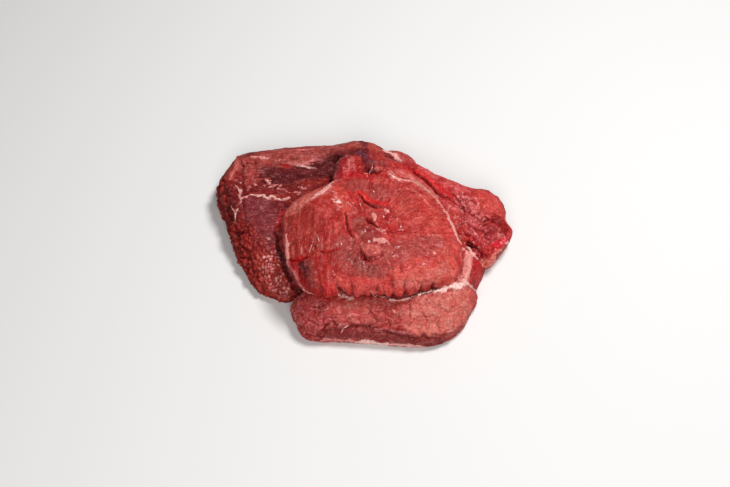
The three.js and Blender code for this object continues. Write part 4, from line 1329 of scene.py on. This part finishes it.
def laid_strands(kinds):
    """A tree that lays each path on the flesh and gives it a flat, uneven body."""
    tree = bpy.data.node_groups.new("laid_strands", "GeometryNodeTree")
    named_input(tree, "Paths", "NodeSocketGeometry")
    tree.interface.new_socket("Strands", in_out="OUTPUT", socket_type="NodeSocketGeometry")
    sockets = {name: named_input(tree, name, "NodeSocket" + kind) for name, kind in kinds.items()}
    given = tree.nodes.new("NodeGroupInput").outputs
    shown = put(tree, "GeometryNodeObjectInfo", {"Object": given["Flesh"]}, transform_space="RELATIVE")
    flesh_mesh = shown.outputs["Geometry"]
    spaced = {"Curve": given["Paths"], "Length": given["Spacing"]}
    cut = put(tree, "GeometryNodeResampleCurve", spaced, mode="LENGTH")
    spot = put(tree, "GeometryNodeInputPosition").outputs[0]
    nearest = put(tree, "GeometryNodeProximity", {0: flesh_mesh}, target_element="FACES")
    normal = {"Mesh": flesh_mesh, "Value": put(tree, "GeometryNodeInputNormal").outputs[0]}
    up = put(tree, "GeometryNodeSampleNearestSurface", normal, data_type="FLOAT_VECTOR")
    up = up.outputs["Value"]
    placed = {"Geometry": cut.outputs[0], "Position": nearest.outputs["Position"]}
    laid = put(tree, "GeometryNodeSetPosition", placed)
    facing = {"Curve": laid.outputs[0], "Normal": up}
    faced = put(tree, "GeometryNodeSetCurveNormal", facing, mode="FREE")
    swings = {"Vector": spot, "W": given["Seed"], "Scale": SWING_LUMPS, "Detail": 3.0}
    swing = put(tree, "ShaderNodeTexNoise", swings, noise_dimensions="4D").outputs[0]
    swing = calculate(tree, "MULTIPLY", calculate(tree, "SUBTRACT", swing, 0.5), given["Unevenness"])
    radius = put(tree, "GeometryNodeInputRadius").outputs[0]
    radius = calculate(tree, "MULTIPLY", radius, calculate(tree, "ADD", swing, 1.0))
    circle = {"Resolution": STRAND_SIDES, "Radius": 1.0}
    ring = put(tree, "GeometryNodeCurvePrimitiveCircle", circle, mode="RADIUS")
    flat = put(tree, "ShaderNodeCombineXYZ", {"X": given["Flatness"], "Y": 1.0, "Z": 1.0}).outputs[0]
    ring = put(tree, "GeometryNodeTransform", {"Geometry": ring.outputs[0], "Scale": flat}).outputs[0]
    swept = {"Curve": faced.outputs[0], "Profile Curve": ring, "Scale": radius, "Fill Caps": True}
    body = put(tree, "GeometryNodeCurveToMesh", swept).outputs[0]
    ragged = put(tree, "ShaderNodeTexNoise", {"Scale": RAGGED_LUMPS, "Detail": 2.0}).outputs["Color"]
    steps = {"SUBTRACT": {1: (0.5, 0.5, 0.5)}, "SCALE": {"Scale": given["Raggedness"]}}
    for operation, inputs in steps.items():
        ragged = put(tree, "ShaderNodeVectorMath", {0: ragged, **inputs}, operation=operation)
        ragged = ragged.outputs[0]
    for kind, inputs in (("SetPosition", {"Offset": ragged}), ("SetShadeSmooth", {}),
                         ("RealizeInstances", {}), ("SetMaterial", {"Material": given["Finish"]})):
        body = put(tree, "GeometryNode" + kind, {0: body, **inputs}).outputs[0]
    tree.links.new(body, tree.nodes.new("NodeGroupOutput").inputs[0])
    return tree, sockets


sinew_finish, tree, shader = new_finish("wet_sinew")
place = in_millimetres(tree)
patchy_here = spread(tree, speckle(tree, place, 1.6), 0.4, 0.62)
strand_bump = {"Height": speckle(tree, place, 0.5), "Distance": 0.3 * MM, "Strength": 0.7}
plug(tree, shader, {
    "Base Color": blend(tree, patchy_here, (0.52, 0.17, 0.15, 1), (0.80, 0.52, 0.46, 1)),
    "Normal": put(tree, "ShaderNodeBump", strand_bump).outputs[0],
    "Roughness": 0.38, "Coat Weight": 0.35, "Coat Roughness": 0.2,
    "Subsurface Weight": 0.2, "Subsurface Scale": 2 * MM,
})

LAY_INPUTS = {
    "Flesh": ("Object", flesh),
    "Spacing": ("Float", STRAND_SPACING * MM),
    "Unevenness": ("Float", 2.2),
    "Raggedness": ("Float", STRAND_RAGGEDNESS * MM),
    "Flatness": ("Float", 0.35),
    "Seed": ("Float", float(STRAND_SEED)),
    "Finish": ("Material", sinew_finish),
}
paths = strand_paths()
strand_tree, sockets = laid_strands({name: kind for name, (kind, _) in LAY_INPUTS.items()})
lay = paths.modifiers.new("lay", "NODES")
lay.node_group = strand_tree
for name, (_, value) in LAY_INPUTS.items():
    lay[sockets[name]] = value
strand_mesh = as_shown(paths)
strand_mesh.name = "sinew_threads"
bpy.data.objects.remove(paths)
sinew_threads = added("sinew_threads", strand_mesh)
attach(sinew_threads, "root")

# The studio: a plain pale floor, one soft light overhead to the right, and one in front. None of it
# belongs to the meat.
FLOOR_SIZE = 6.0
LIGHTS = {  # place, size and power
    "overhead_light": ((0.34, 0.22, 0.85), 0.3, 8),
    "front_light": ((0.0, -0.85, 0.75), 0.6, 7),
}
ALL_ROUND_LIGHT = 0.13
half = FLOOR_SIZE / 2
corners = [(-half, -half, 0), (half, -half, 0), (half, half, 0), (-half, half, 0)]
floor_mesh = bpy.data.meshes.new("studio_floor")
floor_mesh.from_pydata(corners, [], [(0, 1, 2, 3)])
floor = added("studio_floor", floor_mesh)
floor_finish, tree, shader = new_finish("studio_floor")
plug(tree, shader, {"Base Color": (0.72, 0.71, 0.70, 1), "Roughness": 0.75})
floor_mesh.materials.append(floor_finish)
for name, (place, size, power) in LIGHTS.items():
    lamp = bpy.data.lights.new(name, "AREA")
    lamp.shape = "DISK"
    lamp.size = size
    lamp.energy = power
    light = added(name, lamp)
    light.location = place
    light.rotation_euler = (Vector((0, 0, 0)) - Vector(place)).to_track_quat("-Z", "Y").to_euler()
studio = bpy.data.worlds.new("studio")
studio.use_nodes = True
surroundings = {"Color": (1, 0.99, 0.97, 1), "Strength": ALL_ROUND_LIGHT}
plug(studio.node_tree, studio.node_tree.nodes["Background"], surroundings)
bpy.context.scene.world = studio
bpy.context.scene.view_settings.view_transform = "Standard"

# The camera itself. It stands where the features were taken from, in front of the meat, and looks
# down on it through a long lens.
camera_data = bpy.data.cameras.new("camera")
camera_data.lens = CAMERA_LENS
camera_data.sensor_width = SENSOR_WIDTH
camera = added("camera", camera_data)
camera.location = CAMERA_PLACE * MM
camera.rotation_euler = (math.pi / 2 - CAMERA_TILT, 0, 0)
bpy.context.scene.camera = camera
